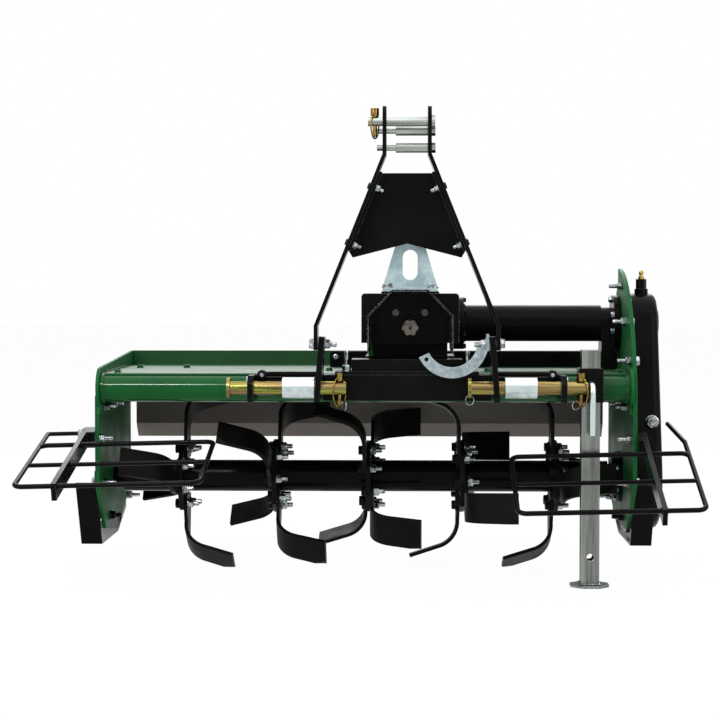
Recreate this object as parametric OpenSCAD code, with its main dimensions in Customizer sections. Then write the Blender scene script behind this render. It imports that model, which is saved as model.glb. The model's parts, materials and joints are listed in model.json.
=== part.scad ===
// Rotary tiller for a tractor's three-point hitch, seen from its hitch side along +Y.
// X runs along the rotor, Y to the rear, Z up from the ground it is parked on.

/* [Machine] */
// Clear width between the side plates
plate_gap = 1135; // [1110:1:1150]
// How far the hitch's middle lies from the right side plate
hitch_inset = 477; // [466:1:490]
// How far the gearbox sits to the right of the hitch's middle
box_shift = 7; // [0:1:10]
// Gap left between pieces that are welded or bolted together on a curve
seat = 0.2; // [0.1:0.05:0.4]
// Room that moving pieces keep from their neighbours
running = 5; // [5:0.5:8]

/* [Rotor] */
// Radius of the circle that the tine tips sweep
tip_r = 205; // [200:1:210]
// Outer diameter of the rotor tube
rotor_d = 70; // [60:1:80]
// Diameter of the rotor's end journals
journal_d = 40; // [30:1:44]
// Radial play of a shaft in its bearing
bearing_play = 0.1; // [0.05:0.01:0.2]
// Room between each outer tine flange and its side plate
flange_room = 151.5; // [149:0.5:156]
// Radius of the tine bolts' circle
bolt_circle = 66; // [62:1:68]
// Radius of an octagonal tine flange at its corners
flange_r = 82; // [78:1:86]
// Thickness of a tine flange
flange_t = 10; // [8:1:12]
// How far the middle flange sits to the right of the plates' middle
rotor_shift = 5; // [0:0.5:8]
// Angle of the first flange's tines above the front horizontal
tine_phase = 2; // [0:1:6]
// Turn from one flange to the next
tine_step = 20; // [18:1:22]
// Thickness of a tine
tine_t = 8; // [6:0.5:9]
// Width of a tine's blade
tine_w = 62; // [54:1:66]
// Width of a tine's shank at the flange
tine_root_w = 74; // [68:1:78]
// Radius at which a tine starts to bend
tine_bend_start = 123; // [118:1:126]
// Middle radius of a tine's bend
tine_bend_r = 59; // [54:1:64]
// Angle that a tine bends through
tine_bend = 72; // [68:1:76]
// Slant of a tine's bend, which sets its leading edge further out
tine_slant = 34; // [28:1:38]
// Length of the straight blade past the bend, cut off at the tip circle
tine_blade = 71; // [66:1:76]

/* [Side plates] */
// Thickness of a side plate
side_t = 8; // [7:0.5:10]
// Height of the side plates' lower edge
side_bottom = 100; // [95:1:110]
// Height of the left side plate's upper edge
side_top = 395; // [385:1:405]
// Front edge of the left side plate, ahead of the rotor axis
side_front = 213; // [208:1:220]
// Rear edge of the side plates, behind the rotor axis
side_rear = 248; // [244:1:250]
// Front edge of the right side plate, ahead of the rotor axis
tall_front = 240; // [236:1:244]
// Radius of the tall right plate's front curve
tall_curve_r = 325; // [318:1:330]
// Radius of the bearing housings on the side plates
hub_r = 56; // [50:1:60]

/* [Hood] */
// Outer diameter of the main cross tube
tube_d = 57; // [54:1:60]
// Wall of the main cross tube
tube_wall = 5; // [3:0.5:7]
// How far the main tube lies ahead of the rotor axis
tube_front = 210; // [208:1:214]
// Height of the main tube's axis
tube_z = 411.5; // [408:0.5:416]
// Sheet thickness of the hood's deck
deck_t = 4; // [3:0.5:5]
// Thickness of the hood's end plates
end_t = 6; // [5:0.5:8]
// Rear edge of the hood, behind the rotor axis
hood_rear = 256; // [254:1:258]
// Height of the hood's rear upstand above the deck
upstand_h = 34; // [30:1:40]
// Lower edge of the hood's end plates
end_bottom = 358; // [352:1:364]

/* [Flap] */
// Sheet thickness of the rear flap
flap_t = 3; // [2:0.5:4]
// Diameter of the flap's hinge rod
hinge_d = 10; // [8:1:12]
// Height of the flap's crease
crease_z = 305; // [300:1:310]
// Height of the flap's lower lip
lip_z = 272; // [268:1:278]
// How far the lip kicks out to the rear
lip_kick = 30; // [26:1:36]

/* [Drive] */
// How far the drive axis lies behind the rotor axis
drive_y = 45; // [40:1:50]
// Height of the drive axis
drive_z = 547; // [543:1:551]
// How far the power take-off stub's axis lies below the drive axis
pto_drop = 7; // [4:1:9]
// Outer diameter of the drive tube
drive_d = 82; // [76:1:86]
// Depth of the gear case outside the right plate
case_w = 73; // [66:1:78]
// Radius of the gear case's upper end
case_top_r = 67; // [62:1:72]
// Radius of the gear case's lower end
case_low_r = 116; // [110:1:120]
// Half the width of the gearbox housing
box_half = 82; // [78:1:88]
// Front face of the gearbox, ahead of the rotor axis
box_front = 70; // [64:1:76]
// Rear face of the gearbox, behind the rotor axis
box_rear = 108; // [100:1:116]
// Height of the gearbox housing's top
box_top = 610; // [604:1:616]
// Height of the base that carries the gearbox above the deck
base_h = 32; // [28:1:36]
// Diameter of the power take-off stub
pto_d = 35; // [33:0.5:36]
// How far the stub stands out of the gearbox
pto_len = 92; // [80:1:110]
// Width of the shaft's shield
shield_w = 181; // [172:1:186]
// Width of the shield's flat top
shield_flat = 76; // [66:1:86]
// How far the shield reaches forward of the gearbox
shield_len = 190; // [180:1:200]
// Sheet thickness of the shield
shield_t = 3; // [2:0.5:4]

/* [Mast] */
// Thickness of the mast straps
strap_t = 8; // [6:0.5:10]
// Depth of the mast straps from front to back
strap_w = 60; // [54:1:64]
// Clear width between the straps at the top link
head_gap = 85; // [80:1:92]
// Height of the mast's top
mast_top = 999; // [985:1:1010]
// Height of the mast's straight head above the bend
head_h = 99; // [92:1:104]
// Height where the straps bend back to upright
mast_foot_z = 547; // [540:1:556]
// How far the hitch plane lies ahead of the rotor axis
hitch_y = 310; // [308:1:314]
// Diameter of the top link pin
top_pin_d = 19; // [17:0.5:22]

/* [Lower hitch] */
// Height of the lower link pins
link_z = 418; // [414:1:422]
// Diameter of the lower link pins
link_d = 28; // [25:0.5:29]
// Distance between the middles of the two link gaps
link_span = 507.5; // [500:0.5:516]
// Clear gap for a link's ball between its two ears
link_gap = 127.5; // [120:0.5:132]
// Thickness of the hitch ears
ear_t = 12; // [10:1:14]
// Lean of the inner ears towards each other
ear_lean = 4.5; // [3:0.5:5]
// Outer diameter of the sleeves on the lower pins
sleeve_d = 44; // [40:1:46]
// Length of the sleeves on the lower pins
sleeve_len = 66; // [60:1:72]

/* [Stand] */
// Outer width of the stand's square tube
stand_w = 38; // [34:1:40]
// Wall of the stand's square tube
stand_wall = 4; // [3:0.5:5]
// Distance from the right outer ear to the stand's middle
stand_gap = 53.5; // [50:0.5:58]
// Height of the stand's top when it is down
stand_top = 496; // [486:1:506]
// Width of the foot plate across its flats
foot_w = 80; // [74:1:84]
// Thickness of the foot plate
foot_t = 5; // [4:0.5:6]
// Wall of the stand's socket
socket_wall = 6; // [5:0.5:7]
// Play of the stand in its socket on each side
socket_play = 0.5; // [0.3:0.1:0.8]
// Height of the socket's lower end
socket_bottom = 387; // [384:1:390]
// Height of the socket's upper end
socket_top = 458; // [450:1:464]
// Height of the stand's locking pin
lock_z = 425; // [422:1:428]
// Diameter of the stand's locking pin
lock_d = 14; // [12:0.5:15]
// How far the stand can be raised
stand_travel = 362; // [350:1:365]

/* [Guards and skids] */
// Diameter of the guards' frame rod
guard_d = 10; // [8:0.5:11]
// Diameter of the guards' cross rods
guard_rod_d = 9; // [7:0.5:9.5]
// How far the guards reach ahead of the rotor axis
front_reach = 565; // [555:1:575]
// How far the left guard reaches outside its side plate
guard_out_left = 109; // [100:1:116]
// How far the right guard reaches outside its side plate
guard_out_right = 102; // [96:1:112]
// Length of each guard along the machine
guard_len = 376; // [366:1:384]
// Tilt of both guards up to the right
guard_roll = 1.5; // [0:0.5:3]
// Bend radius of the guards' corners
guard_corner = 18; // [14:1:22]
// Thickness of the guards' carrier bars
carrier_t = 10; // [8:1:11]
// Width of the skid straps
skid_w = 46; // [42:1:48]
// Thickness of the skid straps
skid_t = 6; // [5:0.5:8]
// Height of the skids' soles
skid_z = 66; // [60:1:70]

/* [Hidden] */
$fn = 64;

green = "#14592c";
black = "#17181a";
zinc = "#b9bfc4";
yellow_zinc = "#c2a24a";
brass = "#b5873a";

// The guards' outer ends are the ends of the machine in X
plate_shift = (guard_out_left - guard_out_right) / 2;
left_in = plate_shift - plate_gap / 2;
right_in = plate_shift + plate_gap / 2;
left_out = left_in - side_t;
right_out = right_in + side_t;
hitch_x = right_in - hitch_inset;
box_x = hitch_x + box_shift;
rotor_z = tip_r;
rotor_x = plate_shift + rotor_shift;
flange_pitch = (plate_gap - 2 * flange_room) / 4;
pto_z = drive_z - pto_drop;

// The guards' carrier bars and the flap's lip are the ends of the machine in Y
hinge_y = hood_rear + hinge_d;
panel_y = hinge_y - 6;
lip_y = panel_y + lip_kick;
lip_fall = crease_z - lip_z;
lip_edge_y = lip_y + flap_t / 2 * lip_fall / norm([lip_kick, lip_fall]);
rotor_y = (front_reach - lip_edge_y) / 2;

tube_top = tube_z + tube_d / 2;
tube_face = -tube_front - tube_d / 2;
deck_top = tube_top + deck_t;
base_top = deck_top + base_h;

ear_in = (link_span - link_gap) / 2 - ear_t;
ear_out = (link_span + link_gap) / 2;
ear_top = link_z + 107;
strap_bottom = ear_top - 28;
mast_bend_z = mast_top - head_h;

// Half-width to the inner face of an inner ear at height z
function ear_face(z) = ear_in - (z - link_z) * tan(ear_lean);

strap_foot = ear_face(strap_bottom) + ear_t / cos(ear_lean) + seat + strap_t / 2;
strap_head = head_gap / 2 + strap_t / 2;
strap_slope = (strap_foot - strap_head) / (mast_bend_z - mast_foot_z);
strap_y0 = -hitch_y - strap_w / 2;
strap_y1 = -hitch_y + strap_w / 2;

stand_x = hitch_x + ear_out + ear_t + stand_gap;
stand_y = tube_face - socket_wall - socket_play - stand_w / 2;

// Unit vector from point a to point b, and its left-hand normal
function heading(a, b) = (b - a) / norm(b - a);
function left_of(v) = [-v[1], v[0]];

// Point i of path p, moved sideways by s with a mitred corner
function beside(p, i, s) =
  let (last = len(p) - 1)
  let (before = left_of(heading(p[max(i - 1, 0)], p[max(i, 1)])))
  let (after = left_of(heading(p[min(i, last - 1)], p[min(i + 1, last)])))
  p[i] + s * (before + after) / (1 + before * after);

// Outline of a flat bar of thickness t that follows path p
function bar_outline(p, t) = concat(
  [for (i = [0:len(p) - 1]) beside(p, i, t / 2)],
  [for (i = [len(p) - 1:-1:0]) beside(p, i, -t / 2)]);

// Puts a node's shapes over the rotor axis and gives them their colour
module piece(tint) color(tint) translate([0, rotor_y, 0]) children();

// Extrudes a (Y, Z) outline along X, or an (X, Z) outline along Y
module along_x(x0, x1) translate([x0, 0, 0]) rotate([90, 0, 90]) linear_extrude(x1 - x0) children();
module along_y(y0, y1) translate([0, y1, 0]) rotate([90, 0, 0]) linear_extrude(y1 - y0) children();

// Round bars along each axis
module rod_x(x0, x1, y, z, d) translate([x0, y, z]) rotate([0, 90, 0]) cylinder(d = d, h = x1 - x0);
module rod_y(y0, y1, x, z, d) translate([x, y0, z]) rotate([-90, 0, 0]) cylinder(d = d, h = y1 - y0);
module rod_z(z0, z1, x, y, d) translate([x, y, z0]) cylinder(d = d, h = z1 - z0);

// A block from its low corner to its high corner
module block(low, high) translate(low) cube(high - low);

// Hood

// Weld ring at each end of the tube, and the end plates' round front
ring_d = tube_d + 8;
ring_t = 8;
nose_r = tube_d / 2 + 16;

module main_tube() {
  x0 = left_in + end_t;
  x1 = right_in - end_t;
  piece(green) difference() {
    union() {
      rod_x(x0, x1, -tube_front, tube_z, tube_d);
      rod_x(x0, x0 + ring_t, -tube_front, tube_z, ring_d);
      rod_x(x1 - ring_t, x1, -tube_front, tube_z, ring_d);
    }
    rod_x(x0 - 1, x1 + 1, -tube_front, tube_z, tube_d - 2 * tube_wall);
  }
}

// Deck lies on the tube's crown between the end rings and folds up at its rear edge
module hood_deck() {
  lip = 5;
  x0 = left_in + end_t;
  x1 = right_in - end_t;
  piece(green) difference() {
    along_x(x0, x1) polygon([[-tube_front - lip, tube_top + seat], [hood_rear, tube_top + seat],
      [hood_rear, deck_top + upstand_h], [hood_rear - deck_t, deck_top + upstand_h],
      [hood_rear - deck_t, deck_top], [-tube_front - lip, deck_top]]);
    for (x = [x0 - 1, x1 - ring_t - seat]) {
      rod_x(x, x + ring_t + seat + 1, -tube_front, tube_z, ring_d + 2 * seat);
    }
  }
}

module hood_end(x0) {
  toe = 26;
  back = panel_y - flap_t / 2 - 2 * running;
  piece(green) along_x(x0, x0 + end_t) union() {
    translate([-tube_front, tube_z]) circle(r = nose_r);
    polygon([[-tube_front - toe, end_bottom], [back, end_bottom], [back, tube_top],
      [hood_rear, tube_top], [hood_rear, deck_top + upstand_h], [-tube_front, tube_z + nose_r]]);
  }
}

module hood_end_left() hood_end(left_in);
module hood_end_right() hood_end(right_in - end_t);

// Hinge rod in three lugs on the upstand's rear face
lug_t = 8;
lug_inset = 62;
lug_xs = [left_in + lug_inset, plate_shift, right_in - lug_inset];
hinge_z = deck_top - 12;

module hinge_rod() {
  overhang = 14;
  piece(green) union() {
    rod_x(lug_xs[0] - overhang, lug_xs[2] + overhang, hinge_y, hinge_z, hinge_d);
    for (x = lug_xs) {
      along_x(x - lug_t / 2, x + lug_t / 2) union() {
        translate([hinge_y, hinge_z]) circle(d = hinge_d + 8);
        polygon([[hood_rear, hinge_z - 6], [hinge_y, hinge_z - hinge_d / 2 - 4],
          [hinge_y, hinge_z + hinge_d / 2 + 4], [hood_rear, hinge_z + 26]]);
      }
    }
  }
}

// Flap hangs from its rolled upper edge, cut away round the lugs
roll_d = 18;
hinge_play = 0.3;
flap_inset = 12;

module rear_flap() {
  x0 = left_in + flap_inset;
  x1 = right_in - flap_inset;
  piece("#3a3c3e") difference() {
    union() {
      rod_x(x0, x1, hinge_y, hinge_z, roll_d);
      along_x(x0, x1) polygon(bar_outline([[panel_y, hinge_z - 3], [panel_y, crease_z],
        [lip_y, lip_z]], flap_t));
    }
    rod_x(x0 - 1, x1 + 1, hinge_y, hinge_z, hinge_d + 2 * hinge_play);
    for (x = lug_xs) {
      room = lug_t / 2 + 2;
      rod_x(x - room, x + room, hinge_y, hinge_z, roll_d + 10);
    }
  }
}

// Side plates and rotor bearings

// Skid path in (Y, Z), from the front ramp's top to the rear ramp's top
skid_mid = skid_z + skid_t / 2;
skid_front = [-192, rotor_z + 1];
skid_toe = -122;
skid_heel = 100;
skid_rear = [222, skid_mid + 43];
skid_path = [skid_front, [skid_toe, skid_mid], [skid_heel, skid_mid], skid_rear];

// Lower edge of a side plate, cut back at the front and the rear
function plate_foot(front) = [[-front, rotor_z + 1], [skid_toe + 2, side_bottom],
  [skid_heel - 4, side_bottom], [side_rear, side_bottom + 62]];

module side_plate_left() {
  piece(green) along_x(left_out, left_in) difference() {
    polygon(concat(plate_foot(side_front), [[side_rear, side_top], [-side_front, side_top]]));
    translate([0, rotor_z]) circle(d = journal_d + 4);
  }
}

module side_plate_right() {
  curve_y = 80;
  curve_z = tube_z - 66.5;
  crown_r = case_top_r + 17;
  fin_y = drive_y + 17;
  piece(green) along_x(right_in, right_out) difference() {
    union() {
      polygon(concat(plate_foot(tall_front), [[side_rear, deck_top + upstand_h],
        [drive_y + crown_r * cos(35), drive_z + crown_r * sin(35)], [drive_y, drive_z],
        [-tall_front, tube_z]]));
      translate([drive_y, drive_z]) circle(r = crown_r);
      intersection() {
        translate([curve_y, curve_z]) circle(r = tall_curve_r);
        translate([-tall_front, tube_z - 1]) square([tall_front + fin_y, tall_curve_r]);
      }
    }
    translate([0, rotor_z]) circle(d = journal_d + 4);
  }
}

// A flanged bearing housing with its bore along the rotor axis
module bearing(x0, x1, flange_x0, flange_x1, bore_x0, bore_x1) {
  piece(black) difference() {
    union() {
      rod_x(x0, x1, 0, rotor_z, 2 * hub_r - 26);
      rod_x(flange_x0, flange_x1, 0, rotor_z, 2 * hub_r);
    }
    rod_x(bore_x0, bore_x1, 0, rotor_z, journal_d + 2 * bearing_play);
  }
}

hub_len = 22;
hub_flange = 9;
journal_end = 14;
module bearing_left() bearing(left_out - hub_len, left_out, left_out - hub_flange, left_out,
  left_out - journal_end - 2, left_out + 1);
module bearing_right() bearing(right_in - hub_len, right_in, right_in - hub_flange, right_in,
  right_in - hub_len - 1, right_in + 1);

// Drive

// A round end of the gear case with a rounded outer edge, along X
module case_end(r, y, z, w) {
  edge = 16;
  translate([right_out, y, z]) rotate([0, 90, 0]) rotate_extrude($fn = 48) union() {
    square([r, w - edge]);
    square([r - edge, w]);
    translate([r - edge, w - edge]) circle(r = edge, $fn = 24);
  }
}

module gear_case() {
  rim = 9;
  rim_t = 8;
  piece(black) union() {
    hull() {
      case_end(case_top_r, drive_y, drive_z, case_w);
      case_end(case_low_r, 0, rotor_z, case_w);
    }
    hull() {
      rod_x(right_out, right_out + rim_t, drive_y, drive_z, 2 * (case_top_r + rim));
      rod_x(right_out, right_out + rim_t, 0, rotor_z, 2 * (case_low_r + rim));
    }
    rod_x(right_out + case_w - 1, right_out + case_w + 6, 0, rotor_z, 96);
    rod_x(right_out + case_w - 1, right_out + case_w + 5, drive_y, drive_z, 62);
  }
}

// Filler plug on the case's crown, with a hexagon and a brass breather
plug_x = right_out + 42;
plug_hex = 24;
plug_h = 32;

module filler_plug() {
  crown = drive_z + case_top_r;
  piece(black) difference() {
    union() {
      translate([plug_x, drive_y, crown - 2]) cylinder(d = 30, h = 12);
      translate([plug_x, drive_y, crown + 10]) cylinder(d = plug_hex, h = plug_h - 10, $fn = 6);
    }
    rod_x(right_out - 1, right_out + case_w, drive_y, drive_z, 2 * (case_top_r + seat));
  }
}

module breather() {
  crown = drive_z + case_top_r + plug_h;
  piece(brass) union() {
    rod_z(crown, crown + 5, plug_x, drive_y, 14);
    rod_z(crown + 5, crown + 14, plug_x, drive_y, 9);
    translate([plug_x, drive_y, crown + 14]) sphere(d = 11);
  }
}

// Cast housing with chamfered upright corners, front bearing cap and side necks
box_chamfer = 18;
cap_len = 16;
cap_d = 104;
neck_len = 26;
lid_t = 8;
collar_t = 12;
collar_rim = 36;

module gearbox() {
  x0 = box_x - box_half;
  x1 = box_x + box_half;
  c = box_chamfer;
  back = box_rear;
  front = -box_front;
  piece(black) difference() {
    union() {
      translate([0, 0, base_top]) linear_extrude(box_top - base_top) polygon([[x0, front],
        [x1, front], [x1, back - c], [x1 - c, back], [x0 + c, back], [x0, back - c]]);
      block([x0 + c, front + 12, box_top], [x1 - c, back - 12, box_top + lid_t]);
      rod_x(x1, x1 + neck_len, drive_y, drive_z, drive_d + 8);
      rod_x(x1 + neck_len - collar_t, x1 + neck_len, drive_y, drive_z, drive_d + collar_rim);
      rod_y(back, back + cap_len, box_x, pto_z, cap_d);
    }
    rod_y(front - 1, front + 40, box_x, pto_z, pto_d + 2 * bearing_play);
  }
}

// Two plates with upright webs lift the gearbox off the deck
module gearbox_base() {
  half = box_half + 16;
  web = 10;
  plate = 9;
  back = box_rear;
  front = -box_front;
  piece(black) union() {
    block([box_x - half - 14, front, deck_top], [box_x + half + 14, back + 14, deck_top + plate]);
    block([box_x - half, front, base_top - plate], [box_x + half, back, base_top]);
    for (x = [box_x - half, box_x - web / 2, box_x + half - web]) {
      block([x, front, deck_top + plate - 1], [x + web, back, base_top - plate + 1]);
    }
  }
}

// Angle bar across the deck behind the gearbox, up to the right hood end
module cross_channel() {
  leg = 36;
  bar_t = 5;
  front = box_rear + 22;
  piece(black) along_x(hitch_x - ear_in, right_in - end_t - seat) polygon([[front, deck_top],
    [front + leg, deck_top], [front + leg, deck_top + bar_t], [front + bar_t, deck_top + bar_t],
    [front + bar_t, deck_top + leg], [front, deck_top + leg]]);
}

// Green plate that steadies the gearbox's left side
support_t = 10;
module gearbox_support() {
  x1 = box_x - box_half - seat;
  piece(green) along_x(x1 - support_t, x1) polygon([[-box_front + 12, base_top],
    [box_rear - 20, base_top], [70, drive_z], [-20, drive_z]]);
}

// Lifting plate on the gearbox lid: an upright with a long slot on a bolted foot
lift_w = 123;
lift_top_w = 56;
lift_h = 128;
lift_t = 8;
slot_w = 33;
slot_len = 67;

module lifting_plate() {
  lid = box_top + lid_t;
  foot = 42;
  slot_low = lid + 26;
  piece(zinc) union() {
    along_y(-lift_t / 2, lift_t / 2) difference() {
      polygon([[box_x - lift_w / 2, lid], [box_x + lift_w / 2, lid],
        [box_x + lift_w / 2, lid + 10], [box_x + lift_top_w / 2, lid + lift_h - 8],
        [box_x + lift_top_w / 2 - 8, lid + lift_h], [box_x - lift_top_w / 2 + 8, lid + lift_h],
        [box_x - lift_top_w / 2, lid + lift_h - 8], [box_x - lift_w / 2, lid + 10]]);
      translate([box_x, slot_low + slot_w / 2]) circle(d = slot_w);
      translate([box_x, slot_low + slot_len - slot_w / 2]) circle(d = slot_w);
      translate([box_x - slot_w / 2, slot_low + slot_w / 2]) square([slot_w, slot_len - slot_w]);
    }
    block([box_x - lift_w / 2, -lift_t / 2 - foot, lid], [box_x + lift_w / 2, 0, lid + lift_t]);
  }
}

// Folded sheet shield over the stub, welded to a back plate on the gearbox's face
shield_top = 622;
shield_knee = 567;
shield_bottom = base_top + 12;
back_plate_w = 215;

module shield_outline(inset) {
  half = shield_w / 2 - inset;
  flat = shield_flat / 2 - inset * tan(22.5);
  knee = shield_knee - inset * tan(22.5);
  polygon([[box_x - half, shield_bottom - (inset > 0 ? 1 : 0)], [box_x - half, knee],
    [box_x - flat, shield_top - inset], [box_x + flat, shield_top - inset],
    [box_x + half, knee], [box_x + half, shield_bottom - (inset > 0 ? 1 : 0)]]);
}

module pto_shield() {
  plate_t = 4;
  back = -box_front;
  half = back_plate_w / 2;
  corner = 8;
  low = 505;
  piece(black) union() {
    along_y(back - shield_len, back - plate_t + 1) difference() {
      shield_outline(0);
      shield_outline(shield_t);
    }
    difference() {
      along_y(back - plate_t, back) union() {
        translate([box_x - half, low]) square([back_plate_w, box_top + 4 - corner - low]);
        translate([box_x - half + corner, low]) square([back_plate_w - 2 * corner, box_top + 4 - low]);
        for (x = [box_x - half + corner, box_x + half - corner]) {
          translate([x, box_top + 4 - corner]) circle(r = corner);
        }
      }
      rod_y(back - plate_t - 1, back + 1, box_x, pto_z, pto_d + 6);
    }
  }
}

// Six-splined power take-off stub with a centre hole
module pto_shaft() {
  start = -box_front + 38;
  tip = -box_front - pto_len;
  spline_w = 9;
  spline_r = pto_d / 2;
  spline_len = 68;
  piece("#8d8f90") translate([box_x, tip, pto_z]) rotate([-90, 0, 0]) difference() {
    cylinder(d = pto_d, h = start - tip);
    for (i = [0:5]) {
      rotate([0, 0, 60 * i + 30]) translate([spline_r - 3, -spline_w / 2, -1])
        cube([6, spline_w, spline_len + 1]);
    }
    translate([0, 0, -1]) cylinder(d = 8, h = 14);
  }
}

// Drive tube from the gearbox to the right plate: a neck, a bolted flange and a foot on the deck
module drive_tube() {
  x0 = box_x + box_half + neck_len;
  x1 = right_in;
  neck = 42;
  flange = 16;
  flange_d = 126;
  foot_half = 35;
  piece(black) union() {
    rod_x(x0, x1 - neck, drive_y, drive_z, drive_d);
    rod_x(x0, x0 + collar_t, drive_y, drive_z, drive_d + collar_rim);
    rod_x(x1 - neck - 1, x1 - 1, drive_y, drive_z, drive_d - 10);
    rod_x(x1 - flange, x1, drive_y, drive_z, flange_d);
    block([x1 - neck, drive_y - foot_half, deck_top], [x1 - end_t - seat, drive_y + foot_half, drive_z]);
  }
}

// Three-point hitch

beam_h = 54;
beam_w = 46;
beam_back = tube_face - seat;
beam_front = beam_back - beam_w;

module hitch_beam() {
  wall = 6;
  half = ear_face(deck_top) - seat;
  low = [hitch_x - half, beam_front, deck_top - beam_h];
  high = [hitch_x + half, beam_back, deck_top];
  piece(black) difference() {
    block(low, high);
    block(low + [-1, wall, wall], high - [-1, wall, wall]);
  }
}

// Saddle that ties the beam to the hood: a clamp plate and a folded channel on it
saddle_half = ear_in - 28;
channel_half = ear_in - 62;

module hitch_saddle() {
  plate = 7;
  wall = 7;
  back = -tube_front + 22;
  front = beam_front;
  top = base_top;
  piece(black) union() {
    block([hitch_x - saddle_half, front, deck_top], [hitch_x + saddle_half, back, deck_top + plate]);
    difference() {
      block([hitch_x - channel_half, front + 8, deck_top + plate - 1],
        [hitch_x + channel_half, back - 8, top]);
      block([hitch_x - channel_half - 1, front + 8 + wall, deck_top + plate - 2],
        [hitch_x + channel_half + 1, back - 8 - wall, top - wall]);
    }
  }
}

// Ears reach back to the tube's front and hold the lower pins
ear_front = hitch_y + 30;
module ear(x0, lean, outline) {
  middle = x0 + ear_t / 2;
  piece(black) difference() {
    translate([middle, 0, link_z]) rotate([0, lean, 0]) translate([-middle, 0, -link_z])
      along_x(x0, x0 + ear_t) polygon(outline);
    rod_x(x0 - ear_t, x0 + 2 * ear_t, -tube_front, tube_z, tube_d + 2 * seat);
    rod_x(x0 - ear_t, x0 + 2 * ear_t, -hitch_y, link_z, link_d + 2 * seat);
  }
}

ear_below = 22;
ear_behind = 7;
ear_above = 26;
ear_cut = 8;
neck_run = 22;
neck_rise = 30;
ear_low = tube_z - ear_below;
ear_back = -tube_front - ear_behind;
ear_brow = link_z + ear_above;
neck_y = beam_front + neck_run;
inner_outline = [[-ear_front, ear_low + ear_cut], [-ear_front + ear_cut, ear_low], [ear_back, ear_low],
  [ear_back, tube_top], [neck_y, ear_brow + neck_rise], [neck_y - neck_run, ear_top],
  [-ear_front + ear_cut, ear_top],
  [-ear_front, ear_brow]];
outer_outline = [[-ear_front, ear_low + ear_cut], [-ear_front + ear_cut, ear_low], [ear_back, ear_low],
  [ear_back, tube_z + 10], [neck_y, ear_brow], [-ear_front + 2 * ear_cut, ear_brow],
  [-ear_front, ear_brow - 2 * ear_cut]];

module ear_inner_left() ear(hitch_x - ear_in - ear_t, ear_lean, inner_outline);
module ear_inner_right() ear(hitch_x + ear_in, -ear_lean, inner_outline);
module ear_outer_left() ear(hitch_x - ear_out - ear_t, 0, outer_outline);
module ear_outer_right() ear(hitch_x + ear_out, 0, outer_outline);

// Flat bars that brace each outer ear to its inner ear behind the pin
module tie_bars() {
  bar_t = 6;
  bar_w = 27;
  kink = 21;
  bar_z = ear_brow + 8;
  inside = ear_face(bar_z - bar_t) + ear_t / cos(ear_lean) + seat;
  path = [[inside, bar_z], [ear_out - kink, bar_z], [ear_out + ear_t, bar_z - kink - 4]];
  piece(black) translate([hitch_x, 0, 0]) for (side = [0, 1]) {
    mirror([side, 0, 0]) along_y(neck_y - 2 - bar_w, neck_y - 2) intersection() {
      polygon(bar_outline(path, bar_t));
      translate([inside, bar_z - 2 * kink]) square([ear_out - seat - inside, 3 * kink]);
    }
  }
}

// Places of the head's pin and spacer bolts in (Y, Z)
top_pin_at = [-hitch_y - 12, mast_top - 32];
spacer_at = [[-hitch_y + 12, mast_top - 49], [-hitch_y, mast_bend_z + 14]];
spacer_bolt_d = 12;

module mast_strap(side) {
  corner = 16;
  path = [[strap_head, mast_top], [strap_head, mast_bend_z], [strap_foot, mast_foot_z],
    [strap_foot, strap_bottom]];
  wide = strap_foot + strap_t;
  piece(black) translate([hitch_x, 0, 0]) intersection() {
    along_y(strap_y0, strap_y1) polygon([for (q = bar_outline(path, strap_t)) [side * q[0], q[1]]]);
    along_x(-wide, wide) difference() {
      union() {
        translate([strap_y0, strap_bottom - 1]) square([strap_w, mast_top - corner - strap_bottom + 1]);
        translate([strap_y0 + corner, strap_bottom]) square([strap_w - 2 * corner, mast_top - strap_bottom]);
        for (y = [strap_y0 + corner, strap_y1 - corner]) {
          translate([y, mast_top - corner]) circle(r = corner);
        }
      }
      translate(top_pin_at) circle(d = top_pin_d + 2 * seat);
      for (p = spacer_at) translate(p) circle(d = spacer_bolt_d + 2 * seat);
    }
  }
}

module mast_left() mast_strap(-1);
module mast_right() mast_strap(1);

// Half-width between the straps' inner faces at height z
function inner_half(z) = strap_head + (mast_bend_z - z) * strap_slope
  - strap_t / 2 * sqrt(1 + strap_slope * strap_slope) - seat;

module mast_plate() {
  run = mast_bend_z - mast_foot_z;
  z1 = mast_foot_z + 0.898 * run;
  z0 = mast_foot_z + 0.4 * run;
  notch = 29;
  sheet = 5;
  back = strap_y1 - 12;
  flange = 38;
  chamfer = 14;
  fold = sheet * sqrt(1 + strap_slope * strap_slope);
  piece(black) translate([hitch_x, 0, 0]) union() {
    along_y(back - sheet, back) polygon([[-inner_half(z1), z1 - 1], [-inner_half(z0 + chamfer), z0 + chamfer],
      [-inner_half(z0) + chamfer, z0], [0, z0 + notch], [inner_half(z0) - chamfer, z0],
      [inner_half(z0 + chamfer), z0 + chamfer], [inner_half(z1), z1 - 1]]);
    for (side = [-1, 1]) {
      along_y(back - flange, back) polygon([[side * inner_half(z1), z1],
        [side * inner_half(z0 + chamfer), z0 + chamfer],
        [side * (inner_half(z0 + chamfer) - fold), z0 + chamfer], [side * (inner_half(z1) - fold), z1]]);
    }
  }
}

// Top link pin: head on the right, tail for the lynch pin on the left
module top_pin() {
  head_t = 7;
  tail = 30;
  x0 = -strap_head - strap_t / 2 - tail;
  x1 = strap_head + strap_t / 2;
  piece(zinc) translate([hitch_x, 0, 0]) union() {
    rod_x(x0, x1 + 2, top_pin_at[0], top_pin_at[1], top_pin_d);
    rod_x(x1, x1 + head_t, top_pin_at[0], top_pin_at[1], top_pin_d + 9);
  }
}

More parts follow.
